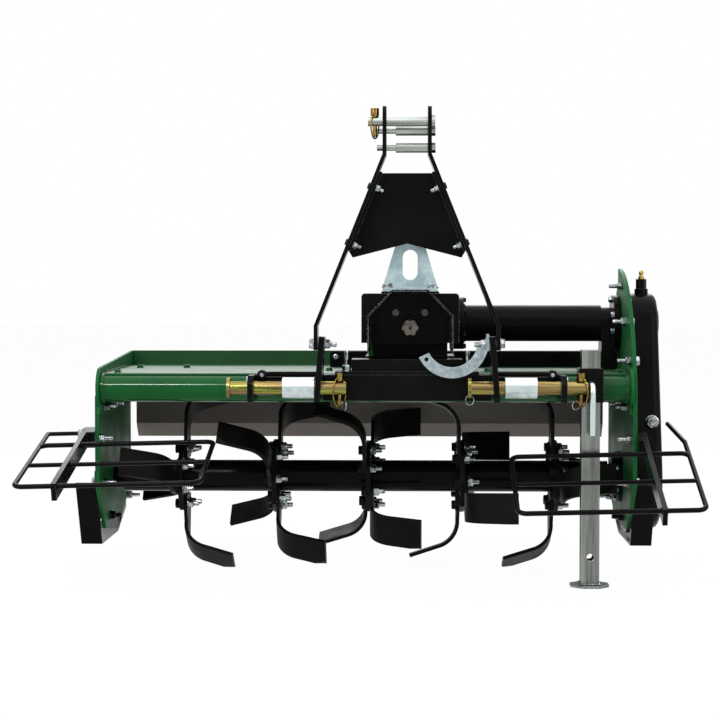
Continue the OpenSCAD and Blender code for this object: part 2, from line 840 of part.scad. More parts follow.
// Spacer bolts with their tubes pushed against the right strap
module mast_spacers() {
  tube_len = 66;
  inside = head_gap / 2;
  piece(zinc) translate([hitch_x, 0, 0]) for (p = spacer_at) {
    union() {
      rod_x(-inside - strap_t - 12, inside + strap_t + 1, p[0], p[1], spacer_bolt_d);
      rod_x(inside - tube_len, inside, p[0], p[1], 20);
      translate([inside + strap_t, p[0], p[1]]) rotate([0, 90, 0]) cylinder(d = 21, h = 8, $fn = 6);
    }
  }
}

// Lower pins: the left one has its head outside, the right one inside
pin_tail = 52;
pin_head = 7;
module link_pin(x_head, x_tail) {
  step = x_tail > x_head ? 1 : -1;
  piece(yellow_zinc) translate([hitch_x, 0, 0]) union() {
    rod_x(min(x_head, x_tail), max(x_head, x_tail), -hitch_y, link_z, link_d);
    rod_x(min(x_head, x_head + step * pin_head), max(x_head, x_head + step * pin_head), -hitch_y, link_z,
      link_d + 16);
  }
}

module link_pin_left() link_pin(-ear_out - ear_t - 44, -ear_in + pin_tail);
module link_pin_right() link_pin(ear_in - pin_tail, ear_out + ear_t + 44);

module sleeve(x0) {
  piece(zinc) difference() {
    rod_x(hitch_x + x0, hitch_x + x0 + sleeve_len, -hitch_y, link_z, sleeve_d);
    rod_x(hitch_x + x0 - 1, hitch_x + x0 + sleeve_len + 1, -hitch_y, link_z, link_d + 2 * seat);
  }
}

// A leaning ear's lower edge stands this far out of the sleeve's end
sleeve_gap = sleeve_d / 2 * tan(ear_lean) + seat;
module sleeve_left() sleeve(-ear_in - ear_t - sleeve_gap - sleeve_len);
module sleeve_right() sleeve(ear_in + ear_t + sleeve_gap + 11);

// Hook that holds the drive shaft up when the machine is unhitched
module shaft_hook() {
  hook_r0 = 53;
  hook_r1 = 76;
  hook_t = 6;
  sweep = 154;
  tab_x = ear_face(ear_top) - seat;
  centre_x = tab_x - hook_r1;
  hook_z = ear_top - 11;
  tab_y0 = -hitch_y - 15;
  back = -hitch_y + 14;
  hole_r = (hook_r0 + hook_r1) / 2;
  piece(zinc) translate([hitch_x, 0, 0]) union() {
    translate([centre_x, back, hook_z]) rotate([90, 0, 0]) rotate([0, 0, -sweep]) difference() {
      rotate_extrude(angle = sweep) translate([hook_r0, 0]) square([hook_r1 - hook_r0, hook_t]);
      rotate([0, 0, 9]) translate([hole_r, 0, -1]) cylinder(d = 9, h = hook_t + 2);
    }
    block([tab_x - hook_t, tab_y0, hook_z - 18], [tab_x, back, hook_z + 16]);
  }
}

// Parking stand

module stand_socket() {
  half = stand_w / 2 + socket_play;
  outer = half + socket_wall;
  piece(black) difference() {
    block([stand_x - outer, stand_y - outer, socket_bottom],
      [stand_x + outer, stand_y + outer - seat, socket_top]);
    block([stand_x - half, stand_y - half, socket_bottom - 1],
      [stand_x + half, stand_y + half, socket_top + 1]);
    rod_y(stand_y - outer - 1, stand_y - half + 1, stand_x, lock_z, lock_d + 2 * seat);
  }
}

// Bent locking pin, its handle hanging ahead of the foot's way up
module lock_pin() {
  bend = 16;
  drop = 105;
  tip = stand_y - stand_w / 2 - socket_play - 1;
  handle_y = stand_y - foot_w / 2 - running - lock_d / 2;
  piece(zinc) union() {
    rod_y(handle_y + bend, tip, stand_x, lock_z, lock_d);
    translate([stand_x, handle_y + bend, lock_z - bend]) rotate([90, 0, 90]) rotate([0, 0, 90])
      rotate_extrude(angle = 90) translate([bend, 0]) circle(d = lock_d);
    rod_z(lock_z - drop, lock_z - bend, stand_x, handle_y, lock_d);
  }
}

module stand() {
  half = stand_w / 2;
  bore = half - stand_wall;
  piece(zinc) union() {
    difference() {
      block([stand_x - half, stand_y - half, foot_t - 1], [stand_x + half, stand_y + half, stand_top]);
      block([stand_x - bore, stand_y - bore, foot_t], [stand_x + bore, stand_y + bore, stand_top + 1]);
      for (z = [lock_z - stand_travel, lock_z]) {
        rod_y(stand_y - half - 1, stand_y + half + 1, stand_x, z, lock_d + 1);
      }
    }
    translate([stand_x, stand_y, 0]) rotate([0, 0, 22.5])
      cylinder(r = foot_w / 2 / cos(22.5), h = foot_t, $fn = 8);
  }
}

// Guards and skids

// A wire frame in its own plane: rods along X at each of the places in ys, from front to rear
module guard_frame(x_far, x_near, ys) {
  r = guard_corner;
  first = ys[0];
  last = ys[len(ys) - 1];
  x0 = min(x_far, x_near);
  x1 = max(x_far, x_near);
  for (y = [first, last]) rod_x(x0 + r, x1 - r, y, 0, guard_d);
  for (x = [x0, x1]) rod_y(first + r, last - r, x, 0, guard_d);
  corners = [[x0 + r, first + r, 180], [x1 - r, first + r, 270], [x1 - r, last - r, 0],
    [x0 + r, last - r, 90]];
  for (c = corners) {
    translate([c[0], c[1], 0]) rotate([0, 0, c[2]]) rotate_extrude(angle = 90)
      translate([r, 0]) circle(d = guard_d);
  }
  for (i = [1:len(ys) - 2]) rod_x(x0, x1, ys[i], 0, guard_rod_d);
}

// A round bar between two points
module rod_between(a, b, d) {
  v = b - a;
  translate(a) rotate([0, acos(v[2] / norm(v)), atan2(v[1], v[0])]) cylinder(d = d, h = norm(v));
}

// Carrier bar on edge that the rods pass through, bolted to the plate behind
carrier_up = 8;
carrier_down = 27;
carrier_front = guard_d;
module carrier(x0, back) {
  block([x0, -carrier_front, -carrier_down], [x0 + carrier_t, back, carrier_up]);
}

// The guard's plane tips up to the rear about its front rod
guard_pitch = 140;
right_pitch = 130;
left_edge = left_out - guard_out_left + guard_d / 2;
right_edge = right_out + guard_out_right - guard_d / 2;
guard_inside = guard_len - guard_d;
left_guard_z = 236;
left_guard_tilt = 12;
right_guard_z = 195;
right_guard_tilt = 20;
carrier_gap = 18;
right_gap = 10;
bar_end = 20;
bracket_left_y = -195;
bracket_right_y = -243;
knee_back = 55;
knee_hook = [-18, 135, -18];

// Where the outer end of a guard's front rod lies, for a carrier that ends at x_in
function guard_y(tilt, x_in) =
  carrier_front * cos(tilt) + (carrier_up + x_in * sin(guard_roll)) * sin(tilt) - front_reach;

// Puts a guard's own plane in place about that end
module guard_place(x, z, tilt, x_in) {
  translate([x, guard_y(tilt, x_in), z]) rotate([tilt, 0, 0]) rotate([0, -guard_roll, 0]) children();
}

module guard_left() {
  x_bar = guard_out_left - guard_d / 2 - carrier_t - carrier_gap;
  reach = (bracket_left_y - guard_y(left_guard_tilt, x_bar + carrier_t)) / cos(left_guard_tilt);
  x_plate = guard_out_left - guard_d / 2 - seat - carrier_down * sin(guard_roll);
  piece(black) guard_place(left_edge, left_guard_z, left_guard_tilt, x_bar + carrier_t) union() {
    guard_frame(0, guard_inside, [0, guard_pitch, 2 * guard_pitch]);
    carrier(x_bar, reach + bar_end);
    block([x_bar + 1, reach - bar_end, -carrier_down], [x_plate, reach + bar_end, carrier_up]);
    rod_y(2 * guard_pitch - guard_corner, reach, 0, 0, guard_d);
    rod_x(0, x_bar + 1, reach, 0, guard_rod_d);
    translate([0, reach, 0]) sphere(d = guard_d);
  }
}

// The right guard's outer rod bends in towards the gear case
module guard_right() {
  x_bar = -guard_out_right + guard_d / 2 + right_gap;
  reach = (bracket_right_y - guard_y(right_guard_tilt, x_bar + carrier_t)) / cos(right_guard_tilt);
  knee = [0, 2 * right_pitch + knee_back, 0];
  hook = knee + knee_hook;
  x_plate = -guard_out_right + guard_d / 2 + seat + carrier_up * sin(guard_roll);
  piece(black) guard_place(right_edge, right_guard_z, right_guard_tilt, x_bar + carrier_t) union() {
    guard_frame(0, -guard_inside, [0, right_pitch, 2 * right_pitch]);
    carrier(x_bar, reach + bar_end);
    block([x_plate, reach - bar_end, -carrier_down], [x_bar + 1, reach + bar_end, carrier_up]);
    rod_y(2 * right_pitch - guard_corner, knee[1], 0, 0, guard_d);
    translate(knee) sphere(d = guard_d);
    rod_between(knee, hook, guard_d);
  }
}

// A strap outside a side plate with a bolted tab at each end
skid_tab = 6;
module skid(x0, tab_x0) {
  ramp = heading(skid_front, [skid_toe, skid_mid]);
  low = skid_front + ramp * 95;
  high = [skid_front[0] + 6, skid_front[1] + 26];
  heel = heading([skid_heel, skid_mid], skid_rear);
  front_tab = [skid_front + ramp * 2, low, low + [22, 8], high + [36, 0], high];
  rear_tab = [skid_rear - heel * 70, skid_rear, skid_rear + [-6, 56], skid_rear + [-52, 56]];
  piece(black) union() {
    along_x(x0, x0 + skid_w) polygon(bar_outline(skid_path, skid_t));
    along_x(tab_x0, tab_x0 + skid_tab) polygon(front_tab);
    along_x(tab_x0, tab_x0 + skid_tab) polygon(rear_tab);
  }
}

module skid_left() skid(left_out - skid_w, left_out - skid_tab);
module skid_right() skid(right_out, right_out);

// Rotor

module rotor_shaft() {
  x0 = left_in + 24;
  x1 = right_in - hub_len - 8;
  piece(black) union() {
    rod_x(x0, x1, 0, rotor_z, rotor_d);
    rod_x(left_out - journal_end, x0 + 1, 0, rotor_z, journal_d);
    rod_x(x1 - 1, right_out - 1, 0, rotor_z, journal_d);
  }
}

// Section of a tine in (sideways, radius): shank, bend and blade
tine_root = rotor_d / 2 + 6;
module tine_section() {
  r0 = tine_bend_r - tine_t / 2;
  r1 = tine_bend_r + tine_t / 2;
  centre = [tine_bend_r, tine_bend_start];
  far = tip_r;
  difference() {
    union() {
      translate([-tine_t / 2, 0]) square([tine_bend_r + tine_t / 2, tine_bend_start]);
      translate(centre) circle(r = r1);
      translate(centre) rotate(-tine_bend) translate([-r1, 0]) square([r1, tine_blade]);
    }
    translate([tine_t / 2, -1]) square([far, tine_bend_start + 1]);
    translate(centre) circle(r = r0);
    translate(centre) rotate(-tine_bend) translate([-r0, 0]) square([far, far]);
  }
}

// Outline of a tine in the flange's plane: a bolted root, then a blade swept back along the slant
flare = 8;
blade_run = 124;
neck_back = 4;
tine_across = [-cos(tine_slant), sin(tine_slant)];
tine_along = [sin(tine_slant), cos(tine_slant)];
tine_mid = [0, tine_bend_start] - tine_along * neck_back;
tine_face = [[-tine_root_w / 2, tine_root], [tine_root_w / 2, tine_root], [tine_root_w / 2, bolt_circle + 6],
  tine_mid - tine_across * tine_w / 2,
  tine_mid - tine_across * tine_w / 2 + tine_along * blade_run,
  tine_mid + tine_across * (tine_w / 2 + flare) + tine_along * blade_run,
  tine_mid + tine_across * tine_w / 2,
  [-tine_root_w / 2, bolt_circle + 6]];

// One tine at the top of the rotor, pointing to +X
module tine() {
  reach = 200;
  intersection() {
    translate([0, 0, tine_bend_start]) rotate([-tine_slant, 0, 0]) translate([0, 0, -tine_bend_start])
      along_y(-reach, reach) tine_section();
    along_x(-tine_t, reach) polygon(tine_face);
    rod_x(-tine_t, reach, 0, 0, 2 * tip_r);
  }
}

// A flange with two tines on each side, the left-hand pair a quarter turn from the right-hand pair
module tine_set(index) {
  phase = tine_phase + tine_step * (index - 1);
  overlap = 1;
  shift = flange_t / 2 + tine_t / 2 - overlap;
  piece(black) translate([rotor_x + flange_pitch * (index - 3), 0, rotor_z]) difference() {
    union() {
      rotate([90 - phase - 22.5, 0, 0]) rotate([0, 90, 0])
        cylinder(r = flange_r, h = flange_t, center = true, $fn = 8);
      for (i = [0:3]) {
        side = i % 2 == 0 ? -1 : 1;
        rotate([90 - phase - 90 * i, 0, 0]) translate([side * shift, 0, 0])
          mirror([side < 0 ? 1 : 0, 0, 0]) tine();
      }
    }
    rod_x(-flange_t, flange_t, 0, 0, rotor_d + 2 * seat);
  }
}

module tine_set_1() tine_set(1);
module tine_set_2() tine_set(2);
module tine_set_3() tine_set(3);
module tine_set_4() tine_set(4);
module tine_set_5() tine_set(5);

main_tube();
hood_deck();
hood_end_left();
hood_end_right();
side_plate_left();
side_plate_right();
bearing_left();
bearing_right();
gear_case();
filler_plug();
breather();
gearbox();
gearbox_base();
cross_channel();
gearbox_support();
lifting_plate();
pto_shield();
drive_tube();
hitch_beam();
hitch_saddle();
ear_inner_left();
ear_inner_right();
ear_outer_left();
ear_outer_right();
tie_bars();
mast_left();
mast_right();
mast_plate();
top_pin();
mast_spacers();
link_pin_left();
link_pin_right();
sleeve_left();
sleeve_right();
shaft_hook();
stand_socket();
lock_pin();
guard_left();
guard_right();
skid_left();
skid_right();
hinge_rod();
rear_flap();
stand();
pto_shaft();
rotor_shaft();
tine_set_1();
tine_set_2();
tine_set_3();
tine_set_4();
tine_set_5();
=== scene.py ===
"""Looks of a tractor-mounted rotary tiller: finishes, fasteners, lynch pins, weld beads, studio and camera."""
import json
import logging
import math
from collections.abc import Sequence
from dataclasses import dataclass, field
from enum import Enum

import bpy
from bpy.types import ID, Material, Mesh, Node, NodeSocket, NodeTree, Object
from mathutils import Matrix, Vector


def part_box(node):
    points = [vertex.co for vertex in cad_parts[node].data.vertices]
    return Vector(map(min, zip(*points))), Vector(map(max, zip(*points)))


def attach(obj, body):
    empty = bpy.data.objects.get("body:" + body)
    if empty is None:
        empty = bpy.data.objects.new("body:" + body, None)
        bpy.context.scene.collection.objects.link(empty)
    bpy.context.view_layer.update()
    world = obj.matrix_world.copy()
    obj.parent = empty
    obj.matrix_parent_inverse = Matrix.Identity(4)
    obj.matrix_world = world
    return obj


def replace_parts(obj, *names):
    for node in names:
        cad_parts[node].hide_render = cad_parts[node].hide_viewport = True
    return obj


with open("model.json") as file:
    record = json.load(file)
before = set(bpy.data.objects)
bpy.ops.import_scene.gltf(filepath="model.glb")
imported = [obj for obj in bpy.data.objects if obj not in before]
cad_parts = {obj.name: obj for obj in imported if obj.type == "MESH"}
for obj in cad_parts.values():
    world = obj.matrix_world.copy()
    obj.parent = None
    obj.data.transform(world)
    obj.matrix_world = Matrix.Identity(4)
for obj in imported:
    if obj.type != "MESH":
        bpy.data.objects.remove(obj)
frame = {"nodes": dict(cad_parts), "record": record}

LOG = logging.getLogger("tiller")
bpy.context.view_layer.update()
MM = 0.001

LEFT, RIGHT = Vector((-1, 0, 0)), Vector((1, 0, 0))
FRONT, REAR = Vector((0, -1, 0)), Vector((0, 1, 0))
UP = Vector((0, 0, 1))

# Places that several sub-assemblies share, in mm: Y from the rotor's axis, Z from the floor
ROTOR_Z = 205.0
DRIVE_Y, DRIVE_Z = 45.0, 547.0
DECK_TOP = 444.0
SIX_TURNS = tuple(30.0 + 60.0 * i for i in range(6))

# Band that most of a noise's values keep to
NOISE_BAND = (0.35, 0.65)
# Cosines of a softened normal's lean at which an edge starts and is full
EDGE_BAND = (0.97, 0.80)


class Body(Enum):
    """The rigid bodies that pieces ride on."""

    FRAME = "frame"
    ROTOR = "rotor"
    STAND = "parking_stand"


class Slot(Enum):
    """The record's finishes that added pieces take."""

    GREEN = "green_paint"
    BLACK = "black_paint"
    TINE = "tine_steel"
    ZINC = "zinc_plate"
    GOLD = "yellow_zinc"
    STEEL = "shaft_steel"


class Side(Enum):
    """The machine's two sides, as signs along X."""

    LEFT = -1
    RIGHT = 1

    @property
    def way(self) -> Vector:
        """Direction out to this side."""
        return RIGHT * self.value


def linear(code: str) -> tuple[float, float, float, float]:
    """Turn an sRGB hex colour to linear RGBA.

    Args:
        code: colour such as "#14592c".

    Returns:
        Linear red, green, blue and an alpha of 1.
    """
    parts = [int(code[i:i + 2], 16) / 255 for i in (1, 3, 5)]
    red, green, blue = (p / 12.92 if p <= 0.04045 else ((p + 0.055) / 1.055) ** 2.4 for p in parts)
    return red, green, blue, 1.0


def add_node(tree: NodeTree, kind: str, inputs: dict[str | int, object] | None = None, **settings: object) -> Node:
    """Add a node to a tree with its settings, constants and links.

    Args:
        tree: tree that gets the node.
        kind: Blender's type name of the node.
        inputs: socket name or index to a constant, or to the output socket that feeds it.
        settings: properties of the node itself.

    Returns:
        The new node.
    """
    node = tree.nodes.new(kind)
    for name, value in settings.items():
        setattr(node, name, value)
    for name, value in (inputs or {}).items():
        if isinstance(value, NodeSocket):
            tree.links.new(value, node.inputs[name])
        else:
            node.inputs[name].default_value = value
    return node


def middle(node: str) -> Vector:
    """Middle of a node's box at rest, in metres."""
    low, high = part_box(node)
    return (low + high) / 2


def over_rotor(x_mm: float, y_mm: float, z_mm: float) -> Vector:
    """Place in metres from millimetres, with Y counted from the rotor's axis."""
    return Vector((x_mm, y_mm, z_mm)) * MM + Vector((0.0, middle("rotor_shaft").y, 0.0))


def show(name: str, data: ID) -> Object:
    """Make an object and put it in the scene.

    Args:
        name: name of the object.
        data: its mesh, curve, lamp or camera.

    Returns:
        The object.
    """
    obj = bpy.data.objects.new(name, data)
    bpy.context.scene.collection.objects.link(obj)
    return obj


def plain(name: str, start: Object) -> Object:
    """Keep what an object evaluates to as a plain mesh, and remove that object with its modifiers.

    Args:
        name: name of the piece.
        start: object to evaluate.

    Returns:
        The piece.
    """
    graph = bpy.context.evaluated_depsgraph_get()
    mesh = bpy.data.meshes.new_from_object(start.evaluated_get(graph))
    mesh.name = name
    bpy.data.objects.remove(start)
    return show(name, mesh)


def settle(obj: Object, body: Body) -> None:
    """Make a finished piece ride on its body.

    Args:
        obj: the finished piece.
        body: body that it moves with.
    """
    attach(obj, body.value)
    LOG.info("%s rides on %s", obj.name, body.value)


@dataclass(frozen=True)
class Finish:
    """What every surface finish shares: a name, a tint, how rough it is and its fine relief.

    Attributes:
        name: name of the material.
        tint: sRGB colour of the clean surface.
        roughness: roughness of the clean surface.
        grain_mm: size of the fine relief.
        relief_mm: height of the fine relief.
        edge_mm: radius of the soft edge that a press, a brush or a coat of paint leaves.
        stretch: how much slower the pattern runs along X, Y and Z, below 1 for lengthwise streaks.
    """

    name: str
    tint: str
    roughness: float
    grain_mm: float
    relief_mm: float
    edge_mm: float = 1.0
    stretch: tuple[float, float, float] = (1.0, 1.0, 1.0)

    def build(self) -> Material:
        """Make the material, which each kind of finish does in its own way."""
        raise NotImplementedError(self.name)

    def start(self) -> tuple[Material, NodeTree, Node, NodeSocket]:
        """Make the material with its shader.

        Returns:
            The material, its tree, its shader and the pattern's coordinates.
        """
        material = bpy.data.materials.new(self.name)
        material.use_nodes = True
        tree = material.node_tree
        place = add_node(tree, "ShaderNodeTexCoord").outputs["Object"]
        drawn = add_node(tree, "ShaderNodeMapping", {"Vector": place, "Scale": self.stretch})
        return material, tree, tree.nodes["Principled BSDF"], drawn.outputs["Vector"]

    def patches(self, tree: NodeTree, place: NodeSocket, size_mm: float, *ranges: tuple[float, float],
                detail: float = 3.0) -> list[NodeSocket]:
        """Values that change from patch to patch, one for each range, all over the same patches.

        Args:
            tree: material tree.
            place: coordinates in metres.
            size_mm: size of one patch.
            ranges: lowest and highest value.
            detail: octaves of finer noise.

        Returns:
            A value for each range.
        """
        noise = add_node(tree, "ShaderNodeTexNoise", {"Vector": place, "Scale": 1 / (size_mm * MM), "Detail": detail})
        values = []
        for low, high in ranges:
            inputs = {"Value": noise.outputs[0], "From Min": NOISE_BAND[0], "From Max": NOISE_BAND[1],
                      "To Min": low, "To Max": high}
            values.append(add_node(tree, "ShaderNodeMapRange", inputs).outputs["Result"])
        return values

    def edges(self, tree: NodeTree, share: NodeSocket | float) -> tuple[NodeSocket, NodeSocket]:
        """Find the piece's edges by how far a softened normal leans from the true one.

        Args:
            tree: material tree.
            share: how much of the edges' colour shows.

        Returns:
            The softened normal, and a factor of 0 on flat faces and the share on edges.
        """
        soft = add_node(tree, "ShaderNodeBevel", {"Radius": self.edge_mm * MM}, samples=4).outputs["Normal"]
        true = add_node(tree, "ShaderNodeNewGeometry").outputs["Normal"]
        lean = add_node(tree, "ShaderNodeVectorMath", {0: soft, 1: true}, operation="DOT_PRODUCT").outputs["Value"]
        inputs = {"Value": lean, "From Min": EDGE_BAND[0], "From Max": EDGE_BAND[1], "To Min": 0.0, "To Max": 1.0}
        edge = add_node(tree, "ShaderNodeMapRange", inputs).outputs["Result"]
        return soft, add_node(tree, "ShaderNodeMath", {0: edge, 1: share}, operation="MULTIPLY").outputs[0]

    def coats(self, tree: NodeTree, *layers: tuple[NodeSocket, str]) -> NodeSocket:
        """Lay thin colours over the clean tint, each as far as its own factor lets it show.

        Args:
            tree: material tree.
            layers: factor from 0 to 1, and the sRGB colour that it shows.

        Returns:
            The colour.
        """
        colour = linear(self.tint)
        for factor, tint in layers:
            inputs = {0: factor, 6: colour, 7: linear(tint)}
            colour = add_node(tree, "ShaderNodeMix", inputs, data_type="RGBA").outputs[2]
        return colour

    def relief(self, tree: NodeTree, place: NodeSocket, soft: NodeSocket, detail: float) -> NodeSocket:
        """Put the fine relief on the soft edges.

        Args:
            tree: material tree.
            place: coordinates in metres.
            soft: the softened normal.
            detail: octaves of finer relief.

        Returns:
            The normal for the shader.
        """
        scale = 1 / (self.grain_mm * MM)
        grain = add_node(tree, "ShaderNodeTexNoise", {"Vector": place, "Scale": scale, "Detail": detail}).outputs[0]
        inputs = {"Height": grain, "Normal": soft, "Distance": self.relief_mm * MM, "Strength": 1.0}
        return add_node(tree, "ShaderNodeBump", inputs).outputs["Normal"]


@dataclass(frozen=True)
class Paint(Finish):
    """Sprayed or powder-coated paint on steel: an even colour under a slightly wavy gloss skin.

    Attributes:
        dust: sRGB colour that the paint shifts to in dull patches.
        dust_mm: size of those patches.
        gloss_spread: how much the roughness varies.
        specular: reflection level of the skin.
        edge_wear_and_lighting_tint: sRGB colour painted on the edges, for rubbed paint and for the highlight that a
            rounded edge catches.
        edge_wear_and_lighting_share: how much of that shows.
        rub_and_highlight_mm: size of the patches along an edge where the rubbing and the painted highlight show.
        least_rub_and_highlight: share of the rubbing and painted highlight that every edge has.
    """

    dust: str = "#202020"
    dust_mm: float = 120.0
    gloss_spread: float = 0.05
    specular: float = 0.5
    edge_wear_and_lighting_tint: str = "#4a4a4a"
    edge_wear_and_lighting_share: float = 0.5
    rub_and_highlight_mm: float = 9.0
    least_rub_and_highlight: float = 0.3

    def build(self) -> Material:
        """Make the material.

        Returns:
            The painted material.
        """
        material, tree, shader, place = self.start()
        gloss = (self.roughness - self.gloss_spread, self.roughness + self.gloss_spread)
        dull, rough = self.patches(tree, place, self.dust_mm, (0.0, 1.0), gloss)
        rub_and_highlight_patches = self.patches(tree, place, self.rub_and_highlight_mm, (self.least_rub_and_highlight * self.edge_wear_and_lighting_share, self.edge_wear_and_lighting_share))
        # Edges take a lighter colour in patches: rubbed paint, and a painted highlight along the rounded edge.
        soft, worn_and_highlit_edges = self.edges(tree, rub_and_highlight_patches[0])
        colour = self.coats(tree, (dull, self.dust), (worn_and_highlit_edges, self.edge_wear_and_lighting_tint))
        tree.links.new(colour, shader.inputs["Base Color"])
        tree.links.new(rough, shader.inputs["Roughness"])
        tree.links.new(self.relief(tree, place, soft, detail=1.0), shader.inputs["Normal"])
        shader.inputs["Specular IOR Level"].default_value = self.specular
        return material


@dataclass(frozen=True)
class Plating(Finish):
    """Electroplated or turned metal: bright, with cloudy patches, a passivation tint, and edges painted in their own
    colour as light and shade.

    Attributes:
        cloud: sRGB colour of the duller clouds.
        cloud_mm: size of the clouds.
        tinge: sRGB colour of the passivation's tinge.
        tinge_mm: size of the tinged patches.
        tinge_share: how strong the tinge is.
        edge_wear_and_lighting_tint: sRGB colour of the edges.
        edge_wear_and_lighting_share: how much of that shows.
        rim: share of the light that its oxide skin sends back at a grazing angle.
        clearer: how much smoother it is between the clouds.
        duller: how much rougher it is in them.
    """

    cloud: str = "#9aa2a8"
    cloud_mm: float = 14.0
    tinge: str = "#aeb9c8"
    tinge_mm: float = 45.0
    tinge_share: float = 0.4
    # edge_wear_and_lighting_tint: sRGB colour painted on the edges: a painted highlight where it is lighter than the
    # tint, painted shade where it is darker. edge_wear_and_lighting_share: how much of that shows.
    edge_wear_and_lighting_tint: str = "#6a7074"
    edge_wear_and_lighting_share: float = 0.5
    rim: float = 0.4
    clearer: float = 0.06
    duller: float = 0.08

    def build(self) -> Material:
        """Make the material.

        Returns:
            The plated material.
        """
        material, tree, shader, place = self.start()
        gloss = (self.roughness - self.clearer, self.roughness + self.duller)
        clouds, rough = self.patches(tree, place, self.cloud_mm, (0.0, 1.0), gloss, detail=4.0)
        tinged = self.patches(tree, place, self.tinge_mm, (0.0, self.tinge_share))
        # The edges' colour is painted light and shade: lighter than the tint for a highlight, darker for shade.
        soft, dull = self.edges(tree, self.edge_wear_and_lighting_share)
        colour = self.coats(tree, (clouds, self.cloud), (tinged[0], self.tinge), (dull, self.edge_wear_and_lighting_tint))
        tree.links.new(colour, shader.inputs["Base Color"])
        tree.links.new(rough, shader.inputs["Roughness"])
        tree.links.new(self.relief(tree, place, soft, detail=2.0), shader.inputs["Normal"])
        shader.inputs["Metallic"].default_value = 1.0
        shader.inputs["Specular Tint"].default_value = (self.rim, self.rim, self.rim, 1.0)
        return material


ALONG_X = (0.05, 1.0, 1.0)
ALONG_Z = (1.0, 1.0, 0.05)

# Two-pack gloss enamel on rolled plate: deep green that mirrors lamps in crisp bands, its edges painted lighter green
# as a highlight
GREEN_PAINT = Paint("green_gloss_enamel", "#08401a", 0.10, 3.0, 0.01, 1.4, dust="#0a481e", dust_mm=160.0,
                    gloss_spread=0.03, specular=0.13, edge_wear_and_lighting_tint="#3c9153", edge_wear_and_lighting_share=0.8)
# The same enamel on the deck, rubbed to a satin skin that catches the lamp behind it at a low angle, its edges
# painted lighter green as a highlight
DECK_PAINT = Paint("green_satin_enamel", "#083916", 0.42, 3.0, 0.03, 1.4, dust="#093f19", dust_mm=120.0,
                   gloss_spread=0.06, specular=0.26, edge_wear_and_lighting_tint="#3c9153", edge_wear_and_lighting_share=0.8)
# The same enamel on the flame-cut side plates, dull where soil and spray have reached their faces, their edges
# painted bright green as a highlight
PLATE_PAINT = Paint("green_plate_enamel", "#0b4d23", 0.52, 3.0, 0.04, 1.6, dust="#0a4720", dust_mm=90.0,
                    gloss_spread=0.06, specular=0.09, edge_wear_and_lighting_tint="#3f9153", edge_wear_and_lighting_share=0.9)
# Powder coat on bars and plates: near black with a faint orange peel, its grey edges partly rubbed coat and partly a
# painted highlight
BLACK_PAINT = Paint("black_powder_coat", "#060606", 0.22, 2.2, 0.04, 1.2, dust="#0b0b0b", dust_mm=90.0,
                    gloss_spread=0.06, specular=0.045, edge_wear_and_lighting_tint="#6e7072", edge_wear_and_lighting_share=0.6)
# Bent sheet of the shield, its cut edges painted near white in patches as a highlight along them
SHIELD_PAINT = Paint("black_sheet_painted_edge_highlight", "#080808", 0.24, 2.2, 0.04, 1.0, dust="#0d0d0d", dust_mm=90.0,
                     gloss_spread=0.06, specular=0.06, edge_wear_and_lighting_tint="#f0f0f0", edge_wear_and_lighting_share=1.0)
# Brushed-on satin paint over a sand casting, with the sand's grain showing through
BLACK_CASTING = Paint("black_painted_casting", "#080808", 0.36, 1.6, 0.2, 2.0, dust="#0e0e0e", dust_mm=60.0,
                      gloss_spread=0.06, specular=0.06, edge_wear_and_lighting_tint="#3c3d3e", edge_wear_and_lighting_share=0.5)
# Dip paint on forged spring-steel tines: satin black, a little streaky
TINE_PAINT = Paint("black_dipped_steel", "#080808", 0.46, 4.0, 0.05, 0.8, dust="#100f0e", dust_mm=70.0,
                   gloss_spread=0.08, specular=0.05, edge_wear_and_lighting_tint="#4c4c4a", edge_wear_and_lighting_share=0.6)
# Flap's inner coat: black sheet painted a warm dark grey, a painted reflection of the floor that shines on it
FLAP_PAINTED_REFLECTION = Paint("black_sheet_painted_floor_reflection", "#645d58", 0.45, 3.0, 0.04, 1.0, dust="#6f6760", dust_mm=110.0,
                   gloss_spread=0.08, specular=0.4, edge_wear_and_lighting_tint="#8f8880", edge_wear_and_lighting_share=0.5)
# Clear passivated zinc on turned sleeves: near white, bluish in faint clouds
ZINC = Plating("clear_zinc_plate", "#d3dedd", 0.22, 0.9, 0.006, 1.0, cloud="#b9c5c4", cloud_mm=16.0,
               tinge="#b4c3c8", tinge_mm=50.0, tinge_share=0.45, edge_wear_and_lighting_tint="#8f979b", edge_wear_and_lighting_share=0.5)
# Clear passivated zinc on sheared and bent strip: pale blue, smooth, with wide soft clouds and near white edges
# painted as a highlight
STRIP_ZINC = Plating("blue_zinc_strip", "#c8dfe3", 0.26, 1.2, 0.006, 1.2, cloud="#a4bac0", cloud_mm=40.0,
                     tinge="#8fa2a8", tinge_mm=18.0, tinge_share=0.3, edge_wear_and_lighting_tint="#e2ebec", edge_wear_and_lighting_share=0.5)
# The same on the bent hook, scuffed into small grey clouds by the drive shaft that hangs in it, its edges painted
# near white as a highlight
HOOK_ZINC = Plating("scuffed_zinc_strip", "#b9c7ca", 0.26, 1.2, 0.01, 1.2, cloud="#8a9a9e", cloud_mm=11.0,
                    tinge="#76868b", tinge_mm=17.0, tinge_share=0.45, edge_wear_and_lighting_tint="#eef3f3", edge_wear_and_lighting_share=0.6)
# Zinc on turned bars and tubes: lengthwise bands of light and dark grey, painted reflections of the surroundings
# along the bar, with darker edges painted as shade
BAR_ZINC = Plating("zinc_bar_painted_reflection_bands", "#a3a8a3", 0.22, 1.2, 0.01, 0.8, ALONG_X, cloud="#6d726c",
                   cloud_mm=7.0, tinge="#c6cbc6", tinge_mm=10.0, tinge_share=0.6, edge_wear_and_lighting_tint="#5a5f5a",
                   edge_wear_and_lighting_share=0.7)
